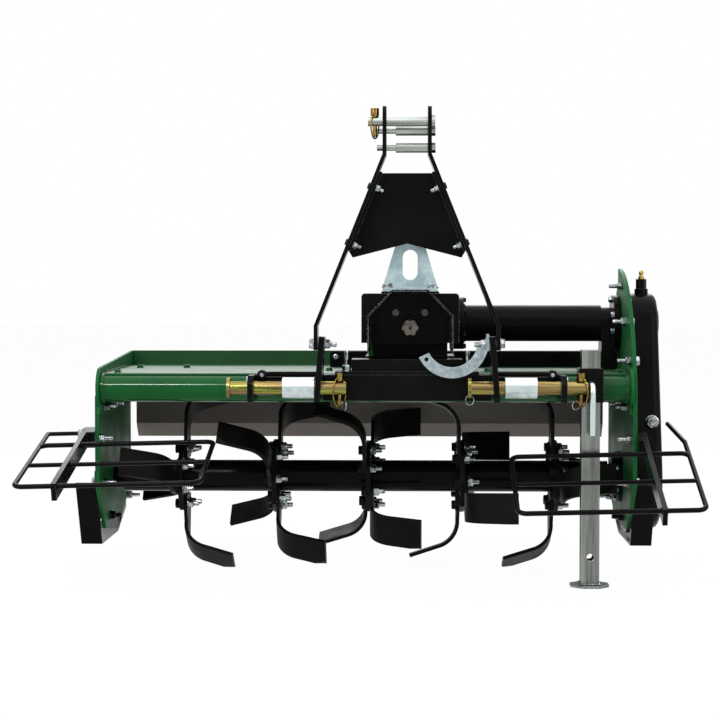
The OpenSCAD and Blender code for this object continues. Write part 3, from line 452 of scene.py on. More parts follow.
# Galvanised drawn tube: grey with a green cast and fine lengthwise draw marks, its corners painted pale as a
# highlight
DRAWN_ZINC = Plating("galvanised_drawn_tube", "#7d837c", 0.28, 1.6, 0.02, 1.8, ALONG_Z, cloud="#636962",
                     cloud_mm=5.0, tinge="#949a93", tinge_mm=14.0, tinge_share=0.7, edge_wear_and_lighting_tint="#d3d8d3",
                     edge_wear_and_lighting_share=0.8)
# Zinc-plated bolts and nuts: rolled threads and cold-headed flats that have gone grey, their edges painted dark as
# shade
BOLT_ZINC = Plating("zinc_bolt_steel", "#8f9496", 0.22, 1.2, 0.02, 0.8, cloud="#4c5154", cloud_mm=7.0,
                    tinge="#c4cacd", tinge_mm=11.0, tinge_share=0.7, edge_wear_and_lighting_tint="#33373a", edge_wear_and_lighting_share=0.7)
# Yellow passivated zinc on turned pins: olive straw, with dark olive and pink bands along the bar that are partly
# interference colours of the passivation and partly painted reflection, and pale straw edges painted as a highlight
YELLOW_ZINC = Plating("yellow_zinc_painted_reflection_bands", "#9aa04a", 0.18, 0.9, 0.006, 0.8, ALONG_X, cloud="#47511f",
                      cloud_mm=6.0, tinge="#8d6253", tinge_mm=9.0, tinge_share=0.8, edge_wear_and_lighting_tint="#e6dba0",
                      edge_wear_and_lighting_share=0.5)
# Bent spring wire and clips in the same plating: darker bronze, with pale straw edges painted as a highlight
GOLD_WIRE = Plating("yellow_zinc_wire", "#958c44", 0.22, 0.8, 0.01, 0.5, cloud="#5c5824", cloud_mm=6.0,
                    tinge="#8a5638", tinge_mm=14.0, tinge_share=0.7, edge_wear_and_lighting_tint="#efe0a8", edge_wear_and_lighting_share=0.4)
# Turned brass, lightly tarnished
BRASS = Plating("turned_brass", "#c2a35c", 0.28, 0.8, 0.02, 0.5, cloud="#937537", cloud_mm=6.0,
                tinge="#a88a50", tinge_mm=20.0, tinge_share=0.3)
# Turned shaft steel under a film of oil: dull warm grey
SHAFT_STEEL = Plating("oiled_turned_steel", "#69645e", 0.42, 0.8, 0.03, 0.5, cloud="#534e48", cloud_mm=8.0,
                      tinge="#7a7066", tinge_mm=25.0, tinge_share=0.4)

SLOT_FINISH: dict[str, Finish] = {
    "green_paint": GREEN_PAINT,
    "black_paint": BLACK_PAINT,
    "black_casting": BLACK_CASTING,
    "tine_steel": TINE_PAINT,
    "flap_paint": FLAP_PAINTED_REFLECTION,
    "zinc_plate": ZINC,
    "yellow_zinc": YELLOW_ZINC,
    "brass": BRASS,
    "shaft_steel": SHAFT_STEEL,
}

NODE_FINISH: dict[str, Finish] = {
    "side_plate_left": PLATE_PAINT,
    "side_plate_right": PLATE_PAINT,
    "hood_end_left": PLATE_PAINT,
    "hood_end_right": PLATE_PAINT,
    "hood_deck": DECK_PAINT,
    "pto_shield": SHIELD_PAINT,
    "lifting_plate": STRIP_ZINC,
    "shaft_hook": HOOK_ZINC,
    "top_pin": BAR_ZINC,
    "mast_spacers": BAR_ZINC,
    "stand": DRAWN_ZINC,
}

FITTING_FINISH: dict[Slot, Finish] = {
    Slot.GREEN: DECK_PAINT,
    Slot.BLACK: BLACK_PAINT,
    Slot.TINE: TINE_PAINT,
    Slot.ZINC: BOLT_ZINC,
    Slot.GOLD: GOLD_WIRE,
    Slot.STEEL: SHAFT_STEEL,
}


@dataclass
class Wardrobe:
    """The finishes of the whole machine, made once each.

    Attributes:
        made: name of a finish to its material.
    """

    made: dict[str, Material] = field(default_factory=dict)

    def of(self, finish: Finish) -> Material:
        """Material of a finish, made on first use."""
        if finish.name not in self.made:
            self.made[finish.name] = finish.build()
        return self.made[finish.name]

    def fitting(self, slot: Slot) -> Material:
        """Material of an added fitting in a slot."""
        return self.of(FITTING_FINISH[slot])

    def dress_nodes(self) -> None:
        """Give every carried-over solid the finish of its slot, or its own."""
        for row in frame["record"]["subparts"]:
            mesh = frame["nodes"][row["node"]].data
            mesh.materials.clear()
            mesh.materials.append(self.of(NODE_FINISH.get(row["node"], SLOT_FINISH[row["material_slot"]])))
            LOG.info("dressed %s in %s", row["node"], row["material_slot"])


@dataclass(frozen=True)
class Seat:
    """Where a fastener sits: the point on the surface and the way it stands out.

    Attributes:
        place: point in metres.
        axis: outward direction.
    """

    place: Vector
    axis: Vector


@dataclass(frozen=True)
class FastenerKind:
    """Sizes of one kind of bolt head or nut.

    Attributes:
        flats_mm: width across its flats.
        head_mm: height of the hexagon or disc.
        stud_mm: how far the thread stands out of it.
        sides: 6 for a hexagon, more for a round head.
    """

    flats_mm: float
    head_mm: float
    stud_mm: float = 0.0
    sides: int = 6


BOLT = FastenerKind(19.0, 8.0)
SMALL_BOLT = FastenerKind(13.0, 5.5)
TINY_BOLT = FastenerKind(10.0, 5.0)
MAST_BOLT = FastenerKind(12.0, 3.0)
NUT = FastenerKind(17.0, 10.0, 13.0)
PLATE_NUT = FastenerKind(15.0, 9.0, 18.0)
CLAMP_NUT = FastenerKind(16.0, 11.0, 30.0)
SMALL_NUT = FastenerKind(13.0, 7.0, 8.0)
LEVEL_PLUG = FastenerKind(24.0, 12.0, 8.0)
DISC = FastenerKind(14.5, 4.0, 0.0, 24)
EYE = FastenerKind(16.0, 8.0, 0.0, 16)
EYE_BOLT = FastenerKind(8.0, 3.0)


def open_tree(name: str, sizes: dict[str, str]) -> tuple[NodeTree, dict[str, NodeSocket]]:
    """Start a geometry tree that takes a mesh, named sizes and a material.

    Args:
        name: name of the tree.
        sizes: name of each size to the kind of its socket.

    Returns:
        The tree, and its inputs by name.
    """
    tree = bpy.data.node_groups.new(name, "GeometryNodeTree")
    labels = {"Geometry": "Geometry", **sizes, "Material": "Material"}
    for label, kind in labels.items():
        tree.interface.new_socket(label, in_out="INPUT", socket_type=f"NodeSocket{kind}")
    tree.interface.new_socket("Geometry", in_out="OUTPUT", socket_type="NodeSocketGeometry")
    given = add_node(tree, "NodeGroupInput").outputs
    return tree, {label: given[label] for label in labels}


def close_tree(tree: NodeTree, instances: NodeSocket, material: NodeSocket) -> None:
    """End a geometry tree by making its instances real and giving them their finish.

    Args:
        tree: the geometry tree.
        instances: what the tree has placed.
        material: their finish.
    """
    real = add_node(tree, "GeometryNodeRealizeInstances", {"Geometry": instances}).outputs["Geometry"]
    dressed = add_node(tree, "GeometryNodeSetMaterial", {"Geometry": real, "Material": material})
    add_node(tree, "NodeGroupOutput", {"Geometry": dressed.outputs["Geometry"]})


def grow(name: str, mesh: Mesh, tree: NodeTree, values: dict[str, object]) -> Object:
    """Run a geometry tree on a mesh and keep the result as a plain mesh.

    Args:
        name: name of the piece.
        mesh: points or path that the tree starts from.
        tree: the geometry tree.
        values: named inputs of the tree.

    Returns:
        The finished object, with no modifier left.
    """
    start = show(f"{name}_start", mesh)
    modifier = start.modifiers.new("grow", "NODES")
    modifier.node_group = tree
    for item in tree.interface.items_tree:
        if item.in_out == "INPUT" and item.name in values:
            modifier[item.identifier] = values[item.name]
    return plain(name, start)


@dataclass
class FastenerShop:
    """Geometry Nodes tree that sets bolt heads and nuts on points, and the pieces made with it.

    Attributes:
        wardrobe: finishes of the machine.
        washer_share: washer's radius over the width across flats.
        washer_t_share: washer's thickness over the width across flats.
        washer_sides: sides of the washer's rim.
        stud_share: thread's radius over the width across flats.
        stud_sides: sides of the thread.
        least_stud_mm: length of the thread that a plain head keeps.
        crown_share: share of a height that draws in.
        taper: how much a head's top face and a thread's end draw in.
        merge: distance in metres at which a foot joins its walls.
    """

    wardrobe: Wardrobe
    washer_share: float = 0.66
    washer_t_share: float = 0.13
    washer_sides: int = 24
    stud_share: float = 0.31
    stud_sides: int = 12
    least_stud_mm: float = 0.05
    crown_share: float = 0.22
    taper: float = 0.86
    merge: float = 1e-6

    def __post_init__(self) -> None:
        """Build the tree that all sets share."""
        self.tree = self.plant()

    def turned(self, tree: NodeTree, sides: NodeSocket | int, radius: NodeSocket, height: NodeSocket,
               base: NodeSocket | float) -> NodeSocket:
        """A closed prism or disc with a drawn-in top edge.

        Args:
            tree: the geometry tree.
            sides: number of sides.
            radius: corner radius.
            height: height along Z.
            base: height of its foot.

        Returns:
            Its geometry.
        """
        disc = add_node(tree, "GeometryNodeMeshCircle", {"Vertices": sides, "Radius": radius}, fill_type="NGON")
        foot = add_node(tree, "GeometryNodeFlipFaces", {"Mesh": disc.outputs["Mesh"]})
        body_h, crown_h = (add_node(tree, "ShaderNodeMath", {0: height, 1: share}, operation="MULTIPLY").outputs[0]
                           for share in (1 - self.crown_share, self.crown_share))
        walls = add_node(tree, "GeometryNodeExtrudeMesh", {"Mesh": disc.outputs["Mesh"], "Offset Scale": body_h,
                         "Individual": False}).outputs
        crown = add_node(tree, "GeometryNodeExtrudeMesh", {"Mesh": walls["Mesh"], "Selection": walls["Top"],
                         "Offset Scale": crown_h, "Individual": False}).outputs
        drawn = add_node(tree, "GeometryNodeScaleElements", {"Geometry": crown["Mesh"], "Selection": crown["Top"],
                         "Scale": self.taper})
        whole = add_node(tree, "GeometryNodeJoinGeometry", {"Geometry": drawn.outputs["Geometry"]})
        tree.links.new(foot.outputs["Mesh"], whole.inputs["Geometry"])
        welded = add_node(tree, "GeometryNodeMergeByDistance", {"Geometry": whole.outputs["Geometry"],
                          "Distance": self.merge})
        lift = add_node(tree, "ShaderNodeCombineXYZ", {"Z": base})
        return add_node(tree, "GeometryNodeTransform", {"Geometry": welded.outputs["Geometry"],
                        "Translation": lift.outputs["Vector"]}).outputs["Geometry"]

    def plant(self) -> NodeTree:
        """Build the tree.

        Returns:
            The geometry tree, with its sizes as named inputs.
        """
        tree, given = open_tree("set_fasteners", {"Across Flats": "Float", "Head Height": "Float",
                                                  "Stud Length": "Float", "Sides": "Int", "Seed": "Int"})
        flats = given["Across Flats"]
        corner_r, washer_r, washer_t, stud_r = (
            add_node(tree, "ShaderNodeMath", {0: flats, 1: share}, operation="MULTIPLY").outputs[0]
            for share in (1 / math.sqrt(3), self.washer_share, self.washer_t_share, self.stud_share))
        top = add_node(tree, "ShaderNodeMath", {0: washer_t, 1: given["Head Height"]}).outputs[0]
        head = self.turned(tree, given["Sides"], corner_r, given["Head Height"], washer_t)
        washer = self.turned(tree, self.washer_sides, washer_r, washer_t, 0.0)
        stud = self.turned(tree, self.stud_sides, stud_r, given["Stud Length"], top)
        whole = add_node(tree, "GeometryNodeJoinGeometry", {"Geometry": head})
        for piece in (washer, stud):
            tree.links.new(piece, whole.inputs["Geometry"])
        way = add_node(tree, "GeometryNodeInputNamedAttribute", {"Name": "axis"}, data_type="FLOAT_VECTOR")
        upright = add_node(tree, "FunctionNodeAlignRotationToVector", {"Vector": way.outputs["Attribute"]}, axis="Z")
        chance = add_node(tree, "FunctionNodeRandomValue", {2: 0.0, 3: math.pi / 3, 8: given["Seed"]},
                          data_type="FLOAT")
        twist = add_node(tree, "FunctionNodeAxisAngleToRotation", {"Axis": UP, "Angle": chance.outputs[1]})
        turn = add_node(tree, "FunctionNodeRotateRotation", {"Rotation": upright.outputs["Rotation"],
                        "Rotate By": twist.outputs["Rotation"]}, rotation_space="LOCAL")
        placed = add_node(tree, "GeometryNodeInstanceOnPoints", {"Points": given["Geometry"],
                          "Instance": whole.outputs["Geometry"], "Rotation": turn.outputs["Rotation"]})
        close_tree(tree, placed.outputs["Instances"], given["Material"])
        return tree

    def fit(self, name: str, kind: FastenerKind, seats: Sequence[Seat], slot: Slot = Slot.ZINC,
            body: Body = Body.FRAME) -> None:
        """Set one kind of fastener on its seats as a single piece.

        Args:
            name: name of the piece.
            kind: sizes of the fastener.
            seats: where they sit.
            slot: their finish.
            body: body that they move with.
        """
        mesh = bpy.data.meshes.new(f"{name}_seats")
        mesh.from_pydata([seat.place for seat in seats], [], [])
        axis = mesh.attributes.new("axis", "FLOAT_VECTOR", "POINT")
        for item, seat in zip(axis.data, seats):
            item.vector = seat.axis.normalized()
        values = {"Across Flats": kind.flats_mm * MM, "Head Height": kind.head_mm * MM,
                  "Stud Length": max(kind.stud_mm, self.least_stud_mm) * MM, "Sides": kind.sides,
                  "Seed": len(seats), "Material": self.wardrobe.fitting(slot)}
        settle(grow(name, mesh, self.tree, values), body)


@dataclass
class Welder:
    """Geometry Nodes tree that lays a rippled weld bead along a path.

    Attributes:
        wardrobe: finishes of the machine.
        pitch_mm: distance from ripple to ripple, coarser than a real bead so that it shows.
        flat: height of a ripple over its width.
    """

    wardrobe: Wardrobe
    pitch_mm: float = 4.0
    flat: float = 0.7

    def __post_init__(self) -> None:
        """Build the tree that all beads share."""
        self.tree = self.plant()

    def plant(self) -> NodeTree:
        """Build the tree.

        Returns:
            The geometry tree, with its sizes as named inputs.
        """
        tree, given = open_tree("lay_weld_bead", {"Bead Width": "Float", "Pitch": "Float"})
        path = add_node(tree, "GeometryNodeMeshToCurve", {"Mesh": given["Geometry"]})
        steps = add_node(tree, "GeometryNodeResampleCurve", {"Curve": path.outputs["Curve"],
                         "Length": given["Pitch"]}, mode="LENGTH")
        radius = add_node(tree, "ShaderNodeMath", {0: given["Bead Width"], 1: 0.5}, operation="MULTIPLY")
        drop = add_node(tree, "GeometryNodeMeshUVSphere", {"Segments": 8, "Rings": 5, "Radius": radius.outputs[0]})
        smooth = add_node(tree, "GeometryNodeSetShadeSmooth", {"Geometry": drop.outputs["Mesh"]})
        tangent = add_node(tree, "GeometryNodeInputTangent").outputs["Tangent"]
        turn = add_node(tree, "FunctionNodeAlignRotationToVector", {"Vector": tangent}, axis="X")
        placed = add_node(tree, "GeometryNodeInstanceOnPoints", {"Points": steps.outputs["Curve"],
                          "Instance": smooth.outputs["Geometry"], "Rotation": turn.outputs["Rotation"],
                          "Scale": (self.flat, 1.0, 1.0)})
        close_tree(tree, placed.outputs["Instances"], given["Material"])
        return tree

    def lay(self, name: str, paths: Sequence[Sequence[Vector]], width_mm: float, slot: Slot,
            body: Body = Body.FRAME) -> None:
        """Lay beads along open paths as a single piece.

        Args:
            name: name of the piece.
            paths: points of each bead, in metres.
            width_mm: width of the bead.
            slot: its finish.
            body: body that it moves with.
        """
        points = [point for path in paths for point in path]
        edges, start = [], 0
        for path in paths:
            edges += [(start + i, start + i + 1) for i in range(len(path) - 1)]
            start += len(path)
        mesh = bpy.data.meshes.new(f"{name}_path")
        mesh.from_pydata(points, edges, [])
        values = {"Bead Width": width_mm * MM, "Pitch": self.pitch_mm * MM, "Material": self.wardrobe.fitting(slot)}
        settle(grow(name, mesh, self.tree, values), body)

    def ring(self, centre: Vector, radius_mm: float, points: int = 36) -> list[Vector]:
        """Path round a bar along X, closed on itself.

        Args:
            centre: middle of the ring in metres.
            radius_mm: its radius.
            points: number of points.

        Returns:
            The path.
        """
        turns = [2 * math.pi * i / points for i in range(points + 1)]
        return [centre + Vector((0, math.cos(t), math.sin(t))) * radius_mm * MM for t in turns]


@dataclass
class WireShop:
    """Bends round bar and wire along paths.

    Attributes:
        wardrobe: finishes of the machine.
        bevel_steps: how finely a bar is rounded.
    """

    wardrobe: Wardrobe
    bevel_steps: int = 4

    def eased(self, path: Sequence[Vector], rounds: int = 3) -> list[Vector]:
        """Round an open path's corners by cutting them again and again.

        Args:
            path: corner points.
            rounds: number of cuts.

        Returns:
            The rounded path, with its ends kept.
        """
        points = list(path)
        for _ in range(rounds):
            cuts = [points[0]]
            for one, two in zip(points, points[1:]):
                cuts += [one.lerp(two, 0.25), one.lerp(two, 0.75)]
            points = cuts + [points[-1]]
        return points

    def bend(self, name: str, paths: Sequence[Sequence[Vector]], wire_mm: float, slot: Slot,
             closed: bool = False) -> Object:
        """Bend round bar along paths and settle it on the frame.

        Args:
            name: name of the piece.
            paths: points of each bar in metres.
            wire_mm: its diameter.
            slot: its finish.
            closed: whether each bar joins itself.

        Returns:
            The finished piece.
        """
        curve = bpy.data.curves.new(f"{name}_path", "CURVE")
        curve.dimensions = "3D"
        curve.bevel_depth = wire_mm / 2 * MM
        curve.bevel_resolution = self.bevel_steps
        curve.use_fill_caps = True
        for path in paths:
            line = curve.splines.new("POLY")
            line.points.add(len(path) - 1)
            for point, spot in zip(line.points, path):
                point.co = (*spot, 1.0)
            line.use_cyclic_u = closed
        piece = plain(name, show(f"{name}_start", curve))
        for face in piece.data.polygons:
            face.use_smooth = True
        piece.data.materials.clear()
        piece.data.materials.append(self.wardrobe.fitting(slot))
        settle(piece, Body.FRAME)
        return piece


@dataclass
class Rotor:
    """Fasteners and welds of the tined rotor.

    Attributes:
        shop: maker of fasteners.
        welder: maker of beads.
        flanges: number of flanges.
        tines: number of tines on a flange.
        bolt_circle_mm: radius of the tine bolts' circle.
        bolt_off_deg: angle from a tine's root to each of its two bolts.
        phase_deg: angle of the first flange's tines above the front horizontal.
        step_deg: turn from one flange to the next.
        flange_half_mm: half the flange's thickness.
        tine_face_mm: from the flange's middle to a tine's outer face.
        tube_r_mm: radius of the rotor's tube.
        bead_mm: width of a weld bead.
        bead_out_mm: how far a bead's middle stands off the flange.
        bead_up_mm: how far it stands off the tube.
    """

    shop: FastenerShop
    welder: Welder
    flanges: int = 5
    tines: int = 4
    bolt_circle_mm: float = 66.0
    bolt_off_deg: float = 22.5
    phase_deg: float = 2.0
    step_deg: float = 20.0
    flange_half_mm: float = 5.0
    tine_face_mm: float = 12.0
    tube_r_mm: float = 35.0
    bead_mm: float = 7.0
    bead_out_mm: float = 1.0
    bead_up_mm: float = 1.5

    def build(self) -> None:
        """Bolt the tines to their flanges and weld the flanges to the tube."""
        nuts, heads, beads = [], [], []
        for index in range(self.flanges):
            centre = middle(f"tine_set_{index + 1}")
            for tine in range(self.tines):
                root = self.phase_deg + self.step_deg * index + 360.0 / self.tines * tine
                left, right = self.faces(Side.LEFT if tine % 2 == 0 else Side.RIGHT)
                for off in (-self.bolt_off_deg, self.bolt_off_deg):
                    turn = math.radians(root + off)
                    spot = centre + Vector((0, -math.cos(turn), math.sin(turn))) * self.bolt_circle_mm * MM
                    heads.append(Seat(spot + LEFT * left * MM, LEFT))
                    nuts.append(Seat(spot + RIGHT * right * MM, RIGHT))
            for side in Side:
                face = centre + side.way * (self.flange_half_mm + self.bead_out_mm) * MM
                beads.append(self.welder.ring(face, self.tube_r_mm + self.bead_up_mm))
        self.shop.fit("tine_bolt_heads", BOLT, heads, Slot.TINE, Body.ROTOR)
        self.shop.fit("tine_bolt_nuts", NUT, nuts, Slot.ZINC, Body.ROTOR)
        self.welder.lay("rotor_weld_beads", beads, self.bead_mm, Slot.TINE, Body.ROTOR)

    def faces(self, side: Side) -> tuple[float, float]:
        """Outer faces of the stack under a bolt.

        Args:
            side: side of the flange that the tine is bolted to.

        Returns:
            Distances in mm from the flange's middle to the left and to the right face.
        """
        if side is Side.LEFT:
            return self.tine_face_mm, self.flange_half_mm
        return self.flange_half_mm, self.tine_face_mm


@dataclass
class Hitch:
    """Fasteners, tie bars and welds of the mast and the lower hitch, in mm, X out from the hitch's middle.

    Attributes:
        shop: maker of fasteners.
        welder: maker of beads.
        wire: bender of the tie bars.
        head_half: half-width of the straps' middle at the mast's head.
        foot_half: half-width of the straps' middle at their feet.
        bend_z: height where the slant ends at the top.
        foot_z: height where it ends at the bottom.
        strap_half_t: half a strap's thickness.
        flange_t: thickness of the mast plate's flange.
        plate_y: place of the mast plate's bolts.
        plate_zs: their heights.
        foot_bolt: Y and Z of the bolts through the straps' feet.
        foot_nuts: X of the nuts on them, left and right.
        nut_lean: how far these nuts lean down.
        clamp_stud: place of the saddle's clamping studs.
        tie_bolt: place of the bolts at the tie bars' ears.
        tie_y: place of the tie bars.
        tie_bends: X and Z of a tie bar's corners.
        tie_d: diameter of a tie bar.
        tie_eye: place of the eye at its outer end.
        beam_end: Y and Z of the beam's round ends.
        beam_end_xs: where they start and stop.
        beam_end_d: their diameter.
        ear_bead_r: radius of the beads that join the ears to the main tube.
        ear_bead_deg: first angle, end and step of their arcs, from the rear.
        ear_bead: width of those beads.
    """

    shop: FastenerShop
    welder: Welder
    wire: WireShop
    head_half: float = 46.5
    foot_half: float = 188.0
    bend_z: float = 900.0
    foot_z: float = 547.0
    strap_half_t: float = 4.0
    flange_t: float = 5.2
    plate_y: float = -315.0
    plate_zs: tuple[float, ...] = (718.0, 834.0)
    foot_bolt: tuple[float, float] = (-310.0, 510.0)
    foot_nuts: tuple[float, float] = (170.8, 164.2)
    nut_lean: float = 0.08
    clamp_stud: tuple[float, float, float] = (127.0, -262.0, 451.0)
    tie_bolt: tuple[float, float, float] = (329.5, -277.0, 433.0)
    tie_y: float = -278.0
    tie_bends: tuple[tuple[float, float], ...] = (
        (317.0, 440.0), (306.0, 442.0), (294.0, 446.0), (280.0, 446.0), (187.0, 446.0))
    tie_d: float = 10.5
    tie_eye: tuple[float, float, float] = (303.0, -279.0, 444.0)
    beam_end: tuple[float, float] = (-262.0, 421.0)
    beam_end_xs: tuple[float, float] = (187.0, 317.0)
    beam_end_d: float = 43.0
    ear_bead_r: float = 29.2
    ear_bead_deg: tuple[int, int, int] = (150, 214, 4)
    ear_bead: float = 5.0

    def build(self) -> None:
        """Bolt, weld and brace the mast and the hitch."""
        self.bolt_mast()
        self.weld_ears()
        self.bend_tie_bars()

    def at(self, side: Side, out: float, y: float, z: float) -> Vector:
        """Place in metres on one side of the hitch's middle, from millimetres."""
        return over_rotor(middle("hitch_beam").x / MM + side.value * out, y, z)

    def bolt_mast(self) -> None:
        """Bolt the mast and the hitch together."""
        slope = (self.foot_half - self.head_half) / (self.bend_z - self.foot_z)
        heads, nuts, studs, plate_heads, plate_nuts, tie_heads = [], [], [], [], [], []
        for side, foot_nut in zip(Side, self.foot_nuts):
            across = (side.way + UP * slope).normalized()
            for z in self.plate_zs:
                spot = self.at(side, self.head_half + (self.bend_z - z) * slope, self.plate_y, z)
                plate_heads.append(Seat(spot + across * self.strap_half_t * MM, across))
                plate_nuts.append(Seat(spot - across * (self.strap_half_t + self.flange_t) * MM, -across))
            heads.append(Seat(self.at(side, self.foot_half + self.strap_half_t, *self.foot_bolt), side.way))
            nuts.append(Seat(self.at(side, foot_nut, *self.foot_bolt), -side.way - UP * self.nut_lean))
            studs.append(Seat(self.at(side, *self.clamp_stud), UP))
            tie_heads.append(Seat(self.at(side, *self.tie_bolt), side.way))
        self.shop.fit("hitch_bolt_heads", BOLT, heads)
        self.shop.fit("hitch_nuts", NUT, nuts)
        self.shop.fit("saddle_clamp_nuts", CLAMP_NUT, studs)
        self.shop.fit("mast_plate_bolts", MAST_BOLT, plate_heads, Slot.BLACK)
        self.shop.fit("mast_plate_nuts", SMALL_NUT, plate_nuts)
        self.shop.fit("tie_bar_bolts", SMALL_BOLT, tie_heads)

    def bend_tie_bars(self) -> None:
        """Bend the round tie bars that brace the outer ears, with the beam's round ends below them."""
        bars, eyes, heads, ends = [], [], [], []
        for side in Side:
            bars.append(self.wire.eased([self.at(side, x, self.tie_y, z) for x, z in self.tie_bends]))
            eye = self.at(side, *self.tie_eye)
            eyes.append(Seat(eye, FRONT))
            heads.append(Seat(eye + FRONT * EYE.head_mm * MM, FRONT))
            ends.append([self.at(side, x, *self.beam_end) for x in self.beam_end_xs])
        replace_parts(self.wire.bend("tie_bar_rounds", bars, self.tie_d, Slot.BLACK), "tie_bars")
        self.shop.fit("tie_bar_eyes", EYE, eyes, Slot.BLACK)
        self.shop.fit("tie_bar_eye_bolts", EYE_BOLT, heads)
        self.wire.bend("hitch_beam_ends", ends, self.beam_end_d, Slot.BLACK)

    def weld_ears(self) -> None:
        """Weld each outer ear to the main tube along both of its faces."""
        tube = middle("main_tube")
        turns = [math.radians(t) for t in range(*self.ear_bead_deg)]
        arc = [Vector((0, math.cos(t), math.sin(t))) * self.ear_bead_r * MM for t in turns]
        beads = []
        for node in ("ear_outer_left", "ear_outer_right"):
            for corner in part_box(node):
                beads.append([Vector((corner.x, tube.y, tube.z)) + ray for ray in arc])
        self.welder.lay("ear_weld_beads", beads, self.ear_bead, Slot.BLACK)


